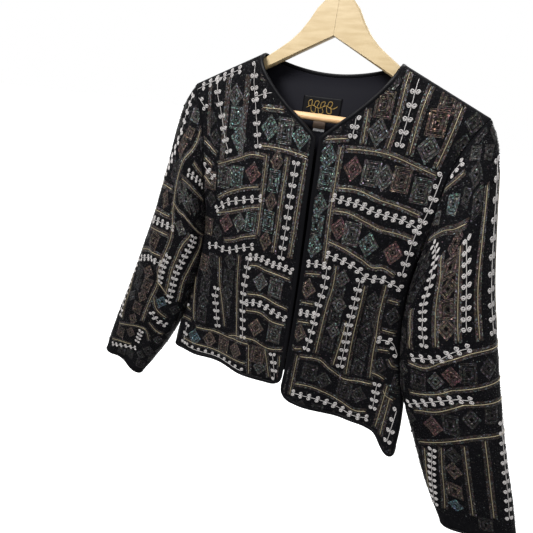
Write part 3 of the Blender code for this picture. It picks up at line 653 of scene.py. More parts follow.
sequinKinds = {
    "row": {"size": (2.3, 0.95), "tilt": 0.14, "lift": 0.6},
    "motif": {"size": (2.2, 1.25), "tilt": 0.20, "lift": 0.6},
    "middle": {"size": (4.5, 4.5), "tilt": 0.20, "lift": 1.1},
    "ground": {"size": (1.8, 1.8), "tilt": 0.25, "lift": 0.6},
}
# For each tint: the common colour, the colour of its lighter sequins (partly their own hue, partly painted
# glints), and their share
tints = {
    "ground": ((0.004, 0.004, 0.005), (0.034, 0.032, 0.034), 0.10),
    "row": ((0.050, 0.038, 0.034), (0.120, 0.128, 0.130), 0.25),
    "grey": ((0.062, 0.056, 0.054), (0.130, 0.150, 0.148), 0.22),
    "teal": ((0.058, 0.056, 0.055), (0.140, 0.205, 0.198), 0.32),
    "brown": ((0.064, 0.051, 0.046), (0.140, 0.100, 0.082), 0.22),
    "red": ((0.062, 0.044, 0.042), (0.150, 0.078, 0.078), 0.26),
    "copper": ((0.072, 0.054, 0.046), (0.200, 0.140, 0.105), 0.26),
    "dark": ((0.026, 0.024, 0.024), (0.070, 0.072, 0.076), 0.15),
    "blue": ((0.052, 0.060, 0.068), (0.105, 0.175, 0.205), 0.38),
}


# A smooth curve through listed points, read at an even step; lengths in metres.
def smoothPath(points, step):
    p = np.array(points, float) * mm
    d = np.concatenate([[0], np.cumsum(np.linalg.norm(np.diff(p, axis=0), axis=1))])
    slope = np.gradient(p, d, axis=0)
    fine = hermite(d, p, slope, np.linspace(0, d[-1], max(8, int(d[-1] / mm))))
    e = np.concatenate([[0], np.cumsum(np.linalg.norm(np.diff(fine, axis=0), axis=1))])
    at = np.linspace(0, e[-1], max(2, int(round(e[-1] / step)) + 1))
    return np.stack([np.interp(at, e, fine[:, k]) for k in (0, 1)], axis=-1)


# Unit directions along a flat path, and to its side.
def directions(path):
    along = unit(np.gradient(path, axis=0))
    return along, np.stack([-along[:, 1], along[:, 0]], axis=-1)


# Contiguous runs of true values, as slices of at least "least" places.
def runsOf(mask, least=3):
    padded = np.concatenate([[0], mask.astype(int), [0]])
    change = np.flatnonzero(np.diff(padded))
    return [slice(a, b) for a, b in zip(change[::2], change[1::2]) if b - a >= least]


# Cords of a given radius laid on a surface: rings of points about each path, smaller at both ends. Each ring
# is a cosine across the path and a sine along the normal.
def cordRings(points, normals, radius):
    sides = beads["cordSides"]
    along = unit(np.gradient(points, axis=-2))
    across = unit(np.cross(along, normals))
    turn = 2 * math.pi * np.arange(sides) / sides
    taper = np.ones(points.shape[-2])
    taper[[0, -1]] = beads["cordTaper"]
    offset = np.cos(turn)[:, None] * across[..., None, :] + np.sin(turn)[:, None] * normals[..., None, :]
    return points[..., None, :] + offset * radius * taper[:, None, None]


# Points, faces and colours that are joined into one mesh.
class Store:
    def __init__(self):
        self.points, self.faces, self.colours, self.count = [], [], [], 0

    def add(self, points, faces, colours=None):
        points = points.reshape(-1, 3)
        self.points.append(points)
        self.faces.append(faces + self.count)
        self.count += len(points)
        if colours is not None:
            self.colours.append(colours)

    def mesh(self, name, smooth=True):
        colours = np.concatenate(self.colours) if self.colours else None
        return meshFrom(name, np.concatenate(self.points), np.concatenate(self.faces), colours, smooth=smooth)


# One cord along a smooth path through listed points, cut where it leaves the panel.
def addCord(store, sample, line, cord):
    points, normals, inside = sample(smoothPath(line, cord["step"] * mm))
    points = points + normals * cord["lift"] * mm
    for run in runsOf(inside):
        rings = cordRings(points[run], normals[run], cord["radius"] * mm)
        store.add(rings, tubeFaces(rings.shape[0], beads["cordSides"], True))


# A curl: points along it, the share of them on its arm, its turns, and its lengths in mm. "closes", "reach"
# and "back" are parts of its size: what the spiral loses, and where it begins and turns on the arm. "flat"
# narrows it along the arm, and "lift" is a part of its radius.
curlShape = {"points": 14, "armShare": 0.18, "turns": 1.25, "radius": 0.64, "size": 3.2, "closes": 0.64,
             "arm": 4.0, "flat": 0.9, "reach": 0.7, "back": 0.2, "lift": 0.9, "rise": 0.4}


# Curls: spirals whose radius falls with the angle, each standing at the end of a short arm.
def addCurls(store, sample, roots, arms, hands):
    c = curlShape
    turns = np.linspace(0, 1, c["points"])
    onArm = turns < c["armShare"]
    size, arm, thick = c["size"] * mm, c["arm"] * mm, c["radius"] * mm
    t = np.clip((turns - c["armShare"]) / (1 - c["armShare"]), 0, 1)
    angle = t * 2 * math.pi * c["turns"]
    radius = size * (1 - c["closes"] * t)
    # In each curl's own frame: along its arm, and to the side it turns to.
    out = arm - size * c["back"] + radius * np.cos(angle) * c["flat"]
    out = np.where(onArm, turns / c["armShare"] * (arm + size * c["reach"]), out)
    sideways = np.where(onArm, 0, radius * np.sin(angle))
    left = np.stack([-arms[:, 1], arms[:, 0]], axis=-1) * hands[:, None]
    flat = roots[:, None, :] + out[:, None] * arms[:, None, :] + sideways[:, None] * left[:, None, :]
    points, normals, inside = sample(flat.reshape(-1, 2))
    shape = (len(roots), len(turns), 3)
    keep = inside.reshape(shape[:2]).all(axis=1)
    points = points.reshape(shape)[keep]
    normals = normals.reshape(shape)[keep]
    lifted = points + normals * (thick * c["lift"] + c["rise"] * mm * t[None, :, None])
    rings = cordRings(lifted, normals, thick)
    first = np.arange(len(rings)) * len(turns) * beads["cordSides"]
    faces = first[:, None, None] + tubeFaces(len(turns), beads["cordSides"], True)[None]
    store.add(rings, faces.reshape(-1, 4))
    return int(keep.sum())


# Random sequin colours of one tint: its share of lighter ones (their own hue, partly painted glints), a small
# change of hue, and a few brightened as painted glints.
def tintColours(tint, n, shade=1.0):
    common, light, share = tints[tint]
    pick = rng.uniform(0, 1, (n, 1)) < share
    colour = np.where(pick, np.array(light), np.array(common)) * rng.uniform(*beads["shadeVaries"], (n, 1))
    colour *= rng.uniform(*beads["hueVaries"], (n, 3))
    # Painted glints: a few sequins are brightened in their colour.
    colour *= np.where(rng.uniform(0, 1, (n, 1)) < beads["paintedGlintShare"], beads["paintedGlint"], 1.0)
    return np.clip(colour * shade, 0, 1)


# Sequins: small quads whose normals are turned by a random amount; they lie along "ways" where given, or
# are spun at random. Those along a way are oblongs, the others diamonds.
def addSequins(store, sample, places, colours, kind, ways=None):
    sequin = sequinKinds[kind]
    points, normals, inside = sample(places)
    points, normals, colours = points[inside], normals[inside], colours[inside]
    n = len(points)
    if n == 0:
        return
    tilted = unit(normals + rng.normal(0, sequin["tilt"], (n, 3)))
    if ways is None:
        across = unit(np.cross(tilted, np.tile([0.0, 0.0, 1.0], (n, 1))) + notZero)
        down = np.cross(tilted, across)
        spin = rng.uniform(0, 2 * math.pi, n)[:, None]
        a = np.cos(spin) * across + np.sin(spin) * down
    else:
        ahead = sample((places + ways * mm)[inside])[0]
        a = unit(ahead - points + notZero)
    b = np.cross(tilted, a)
    long, wide = sequin["size"]
    vary = rng.uniform(*beads["sizeVaries"], n)[:, None] * mm / 2
    centre = points + normals * sequin["lift"] * mm
    if ways is None:
        corners = [a * long, b * wide, -a * long, -b * wide]
    else:
        corners = [a * long + b * wide, -a * long + b * wide, -a * long - b * wide, a * long - b * wide]
    quads = np.stack([centre + corner * vary for corner in corners], axis=1)
    store.add(quads, np.arange(4 * n).reshape(-1, 4), np.repeat(colours, 4, axis=0))


# Rows of sequins that lie along a path, at given distances to both its sides.
def addRows(store, sample, path, offsets, tint, shade=1.0):
    along, side = directions(path)
    for offset in offsets:
        for sign in ((1,) if offset == 0 else (-1, 1)):
            colours = tintColours(tint, len(path), shade)
            addSequins(store, sample, path + side * sign * offset * mm, colours, "row", along)


# Places round a diamond or a square at an even step, ring within ring: the rings' sizes fall evenly.
def motifPlaces(kind, width, height, centre):
    corners = [(0, -1), (1, 0), (0, 1), (-1, 0)]
    if kind == "square":
        corners = [(-1, -1), (1, -1), (1, 1), (-1, 1)]
    half = np.array([width, height]) * mm / 2 * np.array(beads["motifGrow"][kind])
    rings = []
    count = int(min(width, height) / 2 / beads["motifRing"])
    for ring in range(count):
        share = 1 - ring / (count + beads["motifHeart"])
        loop = np.array(corners + corners[:1], float) * half * share
        d = np.concatenate([[0], np.cumsum(np.linalg.norm(np.diff(loop, axis=0), axis=1))])
        at = np.linspace(0, d[-1], max(4, int(d[-1] / (beads["sequinStep"] * mm))), endpoint=False)
        ringPlaces = np.stack([np.interp(at, d, loop[:, k]) for k in (0, 1)], axis=-1)
        rings.append(ringPlaces + np.array(centre) * mm)
    return rings


# The motifs that fill bare ground: the grid that is searched for room, how far they keep from cords, vines
# and each other, and their sizes. A motif is taller than wide, so distances down the cloth count for less.
room = {"step": 5, "cord": 14, "vine": 16.5, "apart": 20.5, "flat": (1.0, 0.8), "pathStep": 4,
        "diamond": (17, 21), "square": (17, 20)}


# Small dark motifs for the ground that the design's tables leave bare: places of an even grid that
# are far enough from every cord, vine and motif, taken one after another.
def fillMotifs(design, low, high):
    cords = np.concatenate([smoothPath(line, room["pathStep"] * mm) for line in design["cords"]])
    vines = np.concatenate([smoothPath(line, room["pathStep"] * mm) for step, line in design["vines"]])
    taken = [np.array(place) * mm for motif in design["motifs"] for place in motif[4]]
    step = room["step"] * mm
    gridU, gridV = np.meshgrid(np.arange(low[0], high[0], step), np.arange(low[1], high[1], step))
    spots = np.stack([gridU.ravel(), gridV.ravel()], axis=-1)
    flat = np.array(room["flat"])
    for paths, clear in ((cords, room["cord"]), (vines, room["vine"])):
        nearest = np.full(len(spots), np.inf)
        # The paths are taken in parts, to keep the tables of distances small.
        for part in np.array_split(paths, 8):
            gap = np.linalg.norm((spots[:, None] - part[None]) * flat, axis=-1).min(axis=1)
            nearest = np.minimum(nearest, gap)
        spots = spots[nearest > clear * mm]
    found = []
    for spot in spots:
        if all(np.linalg.norm((spot - other) * flat) > room["apart"] * mm for other in taken):
            taken.append(spot)
            found.append(tuple(spot / mm))
    return [(kind, "dark", *room[kind], found[first::2]) for first, kind in enumerate(("diamond", "square"))]


# Each design, in mm: vines (spacing of the curl pairs, then the stem's points), gold cords, bands of rows
# (width, tint, points) and motifs (kind, tint, width, height, places). Points on the body are (x, drop),
# on a sleeve (arc, length).
designs = {
    "left": {
        "vines": [
            (16.5, [(-100, 15), (-98, 38), (-94, 57), (-90, 75), (-87, 88), (-83, 104), (-79, 122)]),
            (16, [(-160, 40), (-157, 60), (-150, 78), (-144, 95), (-140, 110), (-134, 125), (-128, 137)]),
            (14, [(-125, 24), (-150, 35), (-175, 46), (-198, 57)]),
            (13, [(-198, 62), (-178, 80)]),
            (13, [(-92, 56), (-78, 51), (-65, 48)]),
            (16, [(-16.5, 135), (-16.5, 205), (-16.5, 275)]),
            (14, [(-142, 228), (-119, 211), (-103, 206), (-88, 201), (-64, 194)]),
            (14, [(-150, 292), (-133, 287), (-115, 290), (-101, 284), (-88, 278), (-67, 270)]),
            (14.5, [(-70, 291), (-71, 322), (-71, 351), (-68, 380), (-65, 394), (-60, 425)]),
            (10.5, [(-68, 287), (-52, 284), (-34, 288), (-10, 288), (3, 290)]),
            (11, [(-62, 363), (-45, 358), (-30, 360), (-13, 366), (5, 369)]),
            (14, [(-127, 362), (-128, 380), (-124, 395), (-122, 410), (-117, 430)]),
            (15, [(-181, 452), (-185, 488)]),
            (13.5, [(-6, 440), (-2, 454), (5, 482)]),
            (13, [(-176, 491), (-120, 489), (-54, 487)]),
            (12, [(-190, 400), (-190, 416)]), (11, [(-174, 165), (-153, 179)]),
        ],
        "cords": [
            [(-88, 30), (-78, 31)], [(-80, 69), (-46, 68)],
            [(-146, 158), (-125, 150), (-108, 143), (-90, 135), (-66, 134)],
            [(-76, 120), (-45, 119), (-20, 121), (6, 125)], [(-178, 125), (-150, 143)],
            [(-176, 150), (-156, 162)], [(-172, 180), (-156, 192)],
            [(-63, 130), (-61, 250)], [(-30, 128), (-30, 270)], [(-3, 128), (-3, 270)],
            [(-141, 210), (-127, 200), (-107, 190), (-86, 182), (-69, 178)],
            [(-140, 234), (-111, 224), (-80, 212), (-63, 207)],
            [(-121, 274), (-105, 269), (-83, 258), (-63, 251)],
            [(-68, 301), (-54, 298), (-40, 301), (-24, 302), (4, 304)],
            [(-64, 348), (-38, 344), (-13, 350), (7, 352)],
            [(-62, 376), (-37, 373), (-16, 382), (7, 381)],
            [(-200, 442), (-172, 437)], [(-159, 445), (-132, 442), (-97, 441), (-64, 435), (-48, 433)],
            [(-91, 437), (-70, 428), (-37, 423), (-15, 431), (15, 421)],
            [(-127, 305), (-121, 352), (-114, 380), (-102, 425)],
            [(-88, 290), (-86, 330), (-81, 380), (-73, 430)], [(-176, 330), (-172, 390), (-165, 435)],
            [(-47, 433), (-40, 488)], [(-20, 433), (-6, 483)], [(7, 436), (13, 478)],
            [(-203, 447), (-205, 488)], [(-187, 480), (-138, 477), (-107, 477), (-48, 470)],
            [(-200, 395), (-176, 395)], [(-200, 420), (-176, 420)],
        ],
        "bands": [(8, "row", [(-140, 36), (-139, 150)]), (9, "row", [(-108, 30), (-107, 138)]),
                  (6, "row", [(-172, 50), (-168, 118)])],
        "motifs": [
            ("diamond", "teal", 23, 29, [(-64, 94), (-15, 99), (-113, 115)]),
            ("square", "grey", 23, 29, [(-40, 95), (-132, 175)]),
            ("diamond", "grey", 22, 26, [(-126, 58), (-95, 238), (-45, 322)]),
            ("square", "teal", 22, 26, [(-120, 88), (-109, 170)]),
            ("square", "grey", 22, 26, [(-18, 325), (-9, 402)]),
            ("diamond", "red", 22, 26, [(-82, 160), (-120, 245)]),
            ("diamond", "brown", 17, 27, [(-46, 137), (-46, 195), (-46, 255)]),
            ("square", "teal", 17, 27, [(-46, 165), (-46, 225), (-76, 232)]),
            ("diamond", "brown", 22, 27, [(-40, 400), (-72, 456), (-130, 461)]),
            ("diamond", "dark", 20, 25, [(-150, 340), (-150, 392), (-105, 305), (-105, 362)]),
            ("square", "dark", 20, 25, [(-150, 365), (-150, 418), (-105, 335), (-105, 390)]),
            ("diamond", "blue", 24, 26, [(-160, 466)]),
            ("square", "brown", 22, 26, [(-100, 461), (-30, 447)]),
            ("diamond", "grey", 18, 22, [(-24, 470)]),
            ("square", "brown", 22, 24, [(-160, 325), (-158, 185), (-158, 260)]),
        ],
    },
    "right": {
        "vines": [
            (16.3, [(118, 14), (118, 42), (117, 60), (115, 91)]),
            (15, [(55, 66), (55, 89)]),
            (10.5, [(46, 170), (61, 171), (84, 172), (101, 177), (123, 179), (145, 181), (160, 187)]),
            (15, [(172, 117), (170, 140), (168, 154), (166, 170), (161, 187), (159, 202), (157, 234),
                  (156, 253)]),
            (12.5, [(53, 250), (74, 252), (95, 257), (116, 269), (132, 265), (148, 269), (158, 272)]),
            (11.5, [(16, 274), (27, 271), (40, 268), (51, 267)]),
            (15, [(56, 269), (57, 299), (54, 330), (53, 360), (51, 389), (50, 404)]),
            (11, [(19, 351), (33, 349), (50, 346)]),
            (14.5, [(105, 275), (104, 315), (103, 345), (104, 374), (104, 417)]),
            (13, [(149, 354), (165, 353), (178, 372)]),
            (12.5, [(43, 486), (76, 483), (100, 485), (121, 489), (144, 491), (160, 487)]),
            (14.5, [(162, 425), (165, 466)]),
            (16, [(198, 452), (198, 500)]),
        ],
        "cords": [
            [(106, 5), (105, 60), (101, 98)], [(134, 18), (130, 65), (129, 100)],
            [(173, 36), (171, 60), (163, 110)], [(14, 99), (33, 95), (50, 92)],
            [(50, 105), (74, 103), (107, 104), (140, 112), (166, 119)],
            [(43, 103), (44, 150), (46, 200), (49, 240), (51, 262)], [(68, 54), (70, 96)],
            [(48, 156), (75, 154), (104, 160), (138, 165), (160, 170)],
            [(50, 187), (68, 186), (93, 192), (115, 198), (139, 199), (158, 202)],
            [(50, 231), (77, 236), (102, 245), (118, 252), (129, 249), (147, 255)],
            [(17, 289), (33, 285), (48, 282)], [(18, 334), (33, 332), (47, 330)], [(18, 367), (47, 361)],
            [(19, 409), (32, 411), (43, 406)],
            [(69, 262), (70, 295), (67, 326), (66, 354), (65, 405)], [(99, 340), (98, 365), (94, 417)],
            [(113, 280), (113, 400), (115, 428)],
            [(140, 271), (141, 320), (144, 350), (146, 380), (150, 418)],
            [(147, 292), (162, 293)], [(149, 338), (168, 339)], [(149, 369), (166, 367)],
            [(168, 380), (175, 389), (184, 390)], [(172, 430), (178, 438), (190, 441)],
            [(150, 408), (160, 409), (170, 413)],
            [(42, 420), (69, 414), (92, 425), (113, 436), (140, 429), (156, 426)],
            [(38, 420), (38, 492)], [(43, 469), (60, 464), (88, 467), (116, 476), (143, 481), (157, 476)],
            [(176, 420), (176, 494)], [(184, 440), (186, 500)],
        ],
        "motifs": [
            ("square", "brown", 22, 26, [(86, 47), (127, 131), (158, 34)]),
            ("diamond", "grey", 23, 29, [(86, 79), (106, 132), (149, 90)]),
            ("square", "copper", 22, 26, [(151, 60)]),
            ("diamond", "red", 22, 27, [(64, 128), (62, 210), (138, 226)]),
            ("square", "grey", 22, 27, [(88, 130), (80, 213), (153, 140)]),
            ("diamond", "teal", 23, 29, [(27, 118), (27, 184), (105, 222), (30, 243)]),
            ("square", "teal", 20, 26, [(30, 147), (28, 213)]),
            ("diamond", "brown", 22, 26, [(33, 309), (33, 383)]),
            ("diamond", "grey", 18, 22, [(81, 278), (84, 318), (84, 360)]),
            ("square", "dark", 17, 20, [(79, 300), (82, 338), (80, 385)]),
            ("square", "dark", 22, 24, [(62, 440), (118, 455)]),
            ("diamond", "dark", 22, 24, [(85, 447), (140, 453)]),
            ("diamond", "dark", 18, 24, [(128, 300), (128, 350), (158, 315), (158, 395)]),
            ("square", "dark", 18, 24, [(128, 325), (128, 380), (190, 415)]),
        ],
    },
    "back": {
        "vines": [
            (16, [(-118, 15), (-112, 60), (-104, 125)]), (16, [(118, 15), (112, 60), (104, 125)]),
            (16, [(0, 32), (0, 80), (0, 128)]),
            (16, [(-166, 60), (-160, 95), (-150, 130)]), (16, [(166, 60), (160, 95), (150, 130)]),
            (12, [(-155, 192), (-110, 180), (-60, 176), (0, 174), (60, 176), (110, 180), (155, 192)]),
            (12, [(-150, 292), (-100, 284), (-50, 280), (0, 280), (50, 280), (100, 284), (150, 292)]),
            (15, [(-75, 190), (-72, 266)]), (15, [(75, 190), (72, 266)]), (15, [(0, 188), (0, 266)]),
            (15, [(-128, 296), (-132, 420)]), (15, [(-44, 294), (-46, 420)]),
            (15, [(44, 294), (46, 420)]), (15, [(128, 296), (132, 420)]),
            (13, [(-190, 485), (-120, 486), (-40, 485), (40, 485), (120, 487), (188, 494)]),
        ],
        "cords": [
            [(-150, 160), (-75, 148), (0, 145), (75, 148), (150, 160)],
            [(-158, 210), (-80, 198), (0, 196), (80, 198), (158, 210)],
            [(-156, 265), (-80, 260), (0, 259), (80, 260), (156, 265)],
            [(-160, 306), (-80, 298), (0, 297), (80, 298), (160, 306)],
            [(-188, 432), (-90, 428), (0, 428), (90, 430), (188, 436)],
            [(-190, 474), (-90, 470), (0, 470), (90, 472), (190, 480)],
            [(-140, 30), (-134, 140)], [(140, 30), (134, 140)],
            [(-92, 14), (-86, 138)], [(92, 14), (86, 138)],
            [(-30, 34), (-30, 135)], [(30, 34), (30, 135)],
            [(-150, 300), (-154, 424)], [(-106, 298), (-110, 424)], [(-62, 298), (-66, 424)],
            [(-22, 298), (-22, 424)], [(22, 298), (22, 424)], [(62, 298), (66, 424)],
            [(106, 298), (110, 424)], [(150, 300), (154, 424)],
        ],
        "motifs": [
            ("diamond", "teal", 23, 29, [(-60, 60), (60, 60), (-60, 120), (60, 120)]),
            ("square", "grey", 23, 29, [(-60, 90), (60, 90), (-16, 160), (16, 160)]),
            ("diamond", "red", 22, 26, [(-120, 232), (-36, 228), (36, 228), (120, 232)]),
            ("square", "brown", 22, 26, [(-98, 231), (98, 231), (-144, 234), (144, 234)]),
            ("diamond", "brown", 20, 26, [(-88, 315), (88, 315), (0, 315), (-88, 375), (88, 375), (0, 375)]),
            ("square", "dark", 20, 26, [(-88, 345), (88, 345), (0, 345), (-88, 405), (88, 405), (0, 405)]),
            ("diamond", "dark", 22, 26, [(-160, 452), (-100, 450), (-40, 450), (20, 450), (80, 452),
                                         (140, 454)]),
            ("square", "brown", 22, 26, [(-130, 451), (-70, 450), (-10, 450), (50, 451), (110, 453)]),
            ("diamond", "grey", 20, 26, [(-172, 330), (172, 330), (-176, 385), (176, 385)]),
        ],
    },
    "sleeveLeft": {
        "vines": [
            (13, [(22, 12), (42, 40), (53, 56), (52, 75), (46, 92), (36, 112), (26, 131)]),
            (13, [(23, 266), (18, 307), (21, 353), (30, 400)]),
            (12, [(116, 55), (137, 38), (156, 19)]),
            (12, [(19, 191), (60, 174), (83, 166)]),
            (12, [(33, 257), (60, 241), (84, 237)]),
            (11.5, [(93, 218), (90, 245), (91, 274)]),
            (13.5, [(126, 150), (121, 187), (118, 216), (115, 245), (116, 274), (118, 307)]),
            (11, [(98, 345), (113, 357), (129, 361)]),
            (12, [(88, 402), (85, 434)]),
            (12, [(30, 486), (53, 473), (84, 457)]),
            (15, [(-36, 60), (-40, 200), (-36, 330), (-28, 470)]),
            (15, [(-106, 60), (-110, 200), (-98, 330), (-78, 460)]),
        ],
        "cords": [
            [(73, 4), (88, 21), (94, 37), (90, 66), (79, 104), (77, 137), (82, 162), (86, 199), (84, 245),
             (85, 291), (85, 374)],
            [(27, 137), (69, 116)], [(74, 129), (90, 129), (113, 121), (134, 129), (148, 140)],
            [(112, 37), (125, 29), (146, 6)], [(99, 79), (130, 62), (152, 50), (176, 34)],
            [(24, 174), (72, 154)], [(39, 195), (79, 183)], [(23, 245), (54, 228), (81, 224)],
            [(81, 278), (95, 282), (112, 291)], [(22, 299), (31, 340), (36, 403)],
            [(119, 149), (108, 183), (107, 212), (106, 245), (109, 295)],
            [(141, 145), (138, 179), (135, 215), (130, 253), (134, 299)],
            [(89, 311), (102, 332), (126, 345)], [(99, 369), (118, 382), (131, 386)],
            [(32, 419), (58, 403), (76, 394), (96, 391), (109, 415)], [(25, 473), (44, 461), (73, 452)],
            [(-14, 70), (-16, 200), (-10, 470)], [(-58, 70), (-62, 200), (-46, 470)],
            [(-84, 70), (-88, 200), (-62, 465)], [(-128, 70), (-130, 200), (-96, 450)],
            [(-14, 150), (-58, 160)], [(-14, 290), (-58, 300)],
        ],
        "motifs": [
            ("diamond", "grey", 22, 25, [(94, 100), (141, 81), (98, 154), (52, 12)]),
            ("square", "grey", 22, 25, [(117, 91)]),
            ("diamond", "brown", 18, 23, [(69, 33), (54, 141), (60, 270), (68, 320), (64, 382), (66, 419)]),
            ("square", "brown", 18, 23, [(72, 57), (58, 208), (67, 295), (66, 351), (42, 436)]),
            ("diamond", "blue", 19, 22, [(106, 315)]),
            ("diamond", "dark", 20, 25, [(150, 112), (113, 444), (83, 79)]),
        ],
    },
    "sleeveRight": {
        "vines": [
            (11, [(59, 10), (76, 5), (88, 3)]),
            (13, [(135, 59), (115, 88), (105, 122), (104, 155), (103, 189), (104, 224)]),
            (13, [(60, 101), (52, 150), (51, 200)]),
            (12, [(121, 246), (103, 243), (86, 239), (69, 227), (50, 222)]),
            (12.5, [(132, 323), (102, 310), (75, 298), (50, 293)]),
            (12, [(105, 386), (111, 440), (113, 490)]),
            (15, [(14, 60), (18, 150), (16, 210)]),
            (15, [(10, 330), (14, 480)]),
            (15, [(-60, 60), (-64, 200), (-58, 330), (-44, 470)]),
            (15, [(-124, 90), (-124, 200), (-106, 330), (-84, 450)]),
        ],
        "cords": [
            [(62, 25), (75, 20), (100, 4)], [(65, 84), (90, 74), (113, 59), (149, 38)],
            [(120, 164), (122, 201), (124, 232)], [(101, 92), (90, 126), (87, 159), (88, 222)],
            [(69, 101), (61, 155), (61, 214)], [(128, 256), (101, 256), (83, 243), (55, 231), (0, 226)],
            [(128, 302), (102, 298), (55, 277), (0, 268)], [(126, 331), (91, 319), (57, 302), (0, 296)],
            [(125, 382), (96, 369), (61, 352), (0, 344)], [(92, 376), (98, 491)], [(116, 388), (119, 465)],
            [(34, 70), (38, 150), (36, 214)], [(-4, 70), (-6, 150), (-4, 214)],
            [(-40, 70), (-44, 200), (-26, 470)], [(-82, 70), (-88, 200), (-62, 470)],
            [(-40, 220), (0, 226)], [(36, 352), (34, 480)], [(62, 362), (60, 485)],
        ],
        "motifs": [
            ("diamond", "teal", 24, 28, [(92, 42)]), ("diamond", "grey", 18, 22, [(122, 27), (93, 275)]),
            ("diamond", "brown", 20, 24, [(80, 92), (75, 145), (74, 197), (79, 411)]),
            ("square", "brown", 20, 22, [(79, 118), (72, 172), (81, 449)]),
            ("diamond", "red", 22, 26, [(99, 344), (72, 262)]),
            ("square", "dark", 20, 24, [(115, 279), (76, 334), (52, 255)]),
            ("diamond", "dark", 20, 24, [(77, 383), (50, 322), (26, 250)]),
            ("diamond", "blue", 18, 18, [(82, 478)]),
        ],
    },
}


# The ground of each panel that is strewn with sequins: two corners, in the panel's own coordinates
grounds = {
    "left": ((-0.215, 0.0), (0.03, 0.52)),
    "right": ((0.0, 0.0), (0.215, 0.52)),
    "back": ((-0.215, 0.0), (0.215, 0.52)),
    "sleeveLeft": ((-0.20, 0.0), (0.20, 0.50)),
    "sleeveRight": ((-0.20, 0.0), (0.20, 0.50)),
}


# The whole beadwork of one panel, as three joined meshes: cords and their rows, motifs, vines with a curl
# to each side, and a jittered grid of sequins over the rest.
def dressPanel(name, key, sample, materials):
    design = designs[key]
    low, high = grounds[key]
    sequins, curls, cords = Store(), Store(), Store()
    for line in design["cords"]:
        addCord(cords, sample, line, beads["cord"])
        # The rows beside the cords are darker low down: painted shade, where less light falls.
        shade = np.interp(np.mean(line, axis=0)[1], beads["rowPaintedShade"]["drop"], beads["rowPaintedShade"]["shade"])
        addRows(sequins, sample, smoothPath(line, beads["rowStep"] * mm), beads["rowOffsets"], "row", shade)
    for width, tint, line in design.get("bands", []):
        offsets = np.arange(0, width / 2, beads["bandStep"])
        addRows(sequins, sample, smoothPath(line, beads["rowStep"] * mm), offsets, tint)
    for kind, tint, width, height, places in design["motifs"] + fillMotifs(design, low, high):
        for centre in places:
            for index, ring in enumerate(motifPlaces(kind, width, height, centre)):
                shade = beads["motifShades"][index % len(beads["motifShades"])]
                way = directions(np.concatenate([ring[-1:], ring, ring[:1]]))[0][1:-1]
                addSequins(sequins, sample, ring, tintColours(tint, len(ring), shade), "motif", way)
            middle = np.array(centre, float)[None] * mm
            addSequins(sequins, sample, middle, np.full((1, 3), beads["middleColour"]), "middle")
    roots, arms, hands = [], [], []
    for step, line in design["vines"]:
        addCord(curls, sample, line, beads["stem"])
        pairs = smoothPath(line, step * mm)
        along, side = directions(pairs)
        upright = abs(line[-1][1] - line[0][1]) > abs(line[-1][0] - line[0][0])
        for sign in (-1, 1):
            # On upright vines both curls hang like a moustache; on level ones all turn the same way.
            roots.append(pairs)
            arms.append(side * sign)
            down = np.sign(along[:, 1]) if upright else np.full(len(pairs), sign)
            hands.append(down * sign if upright else np.full(len(pairs), 1.0))
    curlCount = addCurls(curls, sample, np.concatenate(roots), np.concatenate(arms), np.concatenate(hands))
    # The rest of the ground is scattered with dark sequins.
    step = beads["filler"] * mm
    gridU, gridV = np.meshgrid(np.arange(low[0], high[0], step), np.arange(low[1], high[1], step))
    scattered = np.stack([gridU.ravel(), gridV.ravel()], axis=-1)
    scattered += rng.uniform(-beads["scatter"], beads["scatter"], scattered.shape) * step
    addSequins(sequins, sample, scattered, tintColours("ground", len(scattered)), "ground")
    pieces = []
    for kind, store, finish in (("sequins_", sequins, "sequin"), ("curls_", curls, "curl"),
                                ("cords_", cords, "gold")):
        mesh = store.mesh(kind + name, smooth=kind != "sequins_")
        pieces.append(place(kind + name, mesh, materials[finish], "cloth"))
    print(name, "beadwork:", curlCount, "curls,", len(pieces[0].data.polygons), "sequins")
    return pieces


# Unit directions in the cloth's surface that point out over its edge: the path's direction crossed with
# the normal, turned away from the places inside.
def edgeDirections(path, normals, inside, closed=False):
    if closed:
        along = unit(np.roll(path, -1, axis=0) - np.roll(path, 1, axis=0))
    else:
        along = unit(np.gradient(path, axis=0))
    out = unit(np.cross(along, normals))
    flip = np.sign(np.sum(out * (path - inside), axis=-1, keepdims=True))
    return out * np.where(flip == 0, 1, flip)


# The binding's oval section: how many points it has, and the power that squares it
bindingSection = {"points": 12, "square": 0.8}


# A bound edge: an oval section swept beside the edge of the wall. The section is a cosine and a sine, each
# raised to a power with its sign kept.
def boundEdge(name, path, normals, inside, wide, material, seamSide=0):
    closed = seamSide == 0
    out = edgeDirections(path, normals, inside, closed)
    centre = path - normals * sizes["cloth"] / 2
    turn = 2 * math.pi * np.arange(bindingSection["points"]) / bindingSection["points"]
    across = 0.5 + 0.5 * np.sign(np.cos(turn)) * np.abs(np.cos(turn)) ** bindingSection["square"]
    through = 0.5 * np.sign(np.sin(turn)) * np.abs(np.sin(turn)) ** bindingSection["square"]
    # The strip laps over the cloth's edge, so that no light shows between them.
    reach = sizes["seam"] + across * (wide + sizes["bindingLap"]) - sizes["bindingLap"]
    rings = (centre[:, None] + out[:, None] * reach[:, None]
             + normals[:, None] * through[:, None] * sizes["bindingThick"])
    n, k = rings.shape[:2]
    # The section runs from outwards to the face's side; which way that turns about the path decides
    # how the faces are turned.
    along = np.gradient(path, axis=0)
    flip = np.sum(np.cross(out, normals) * along) < 0
    if closed:
        faces = gridFaces(n + 1, k, wrap=True, flip=flip) % (n * k)
    else:
        for index in (0, -1):
            rings[index, :, 1] = seamY(rings[index]) + seamSide * sizes["seam"] / 2
        faces = tubeFaces(n, k, flip)
    return place(name + "_edge", meshFrom(name + "_edge", rings, faces), material, "binding", (name,))


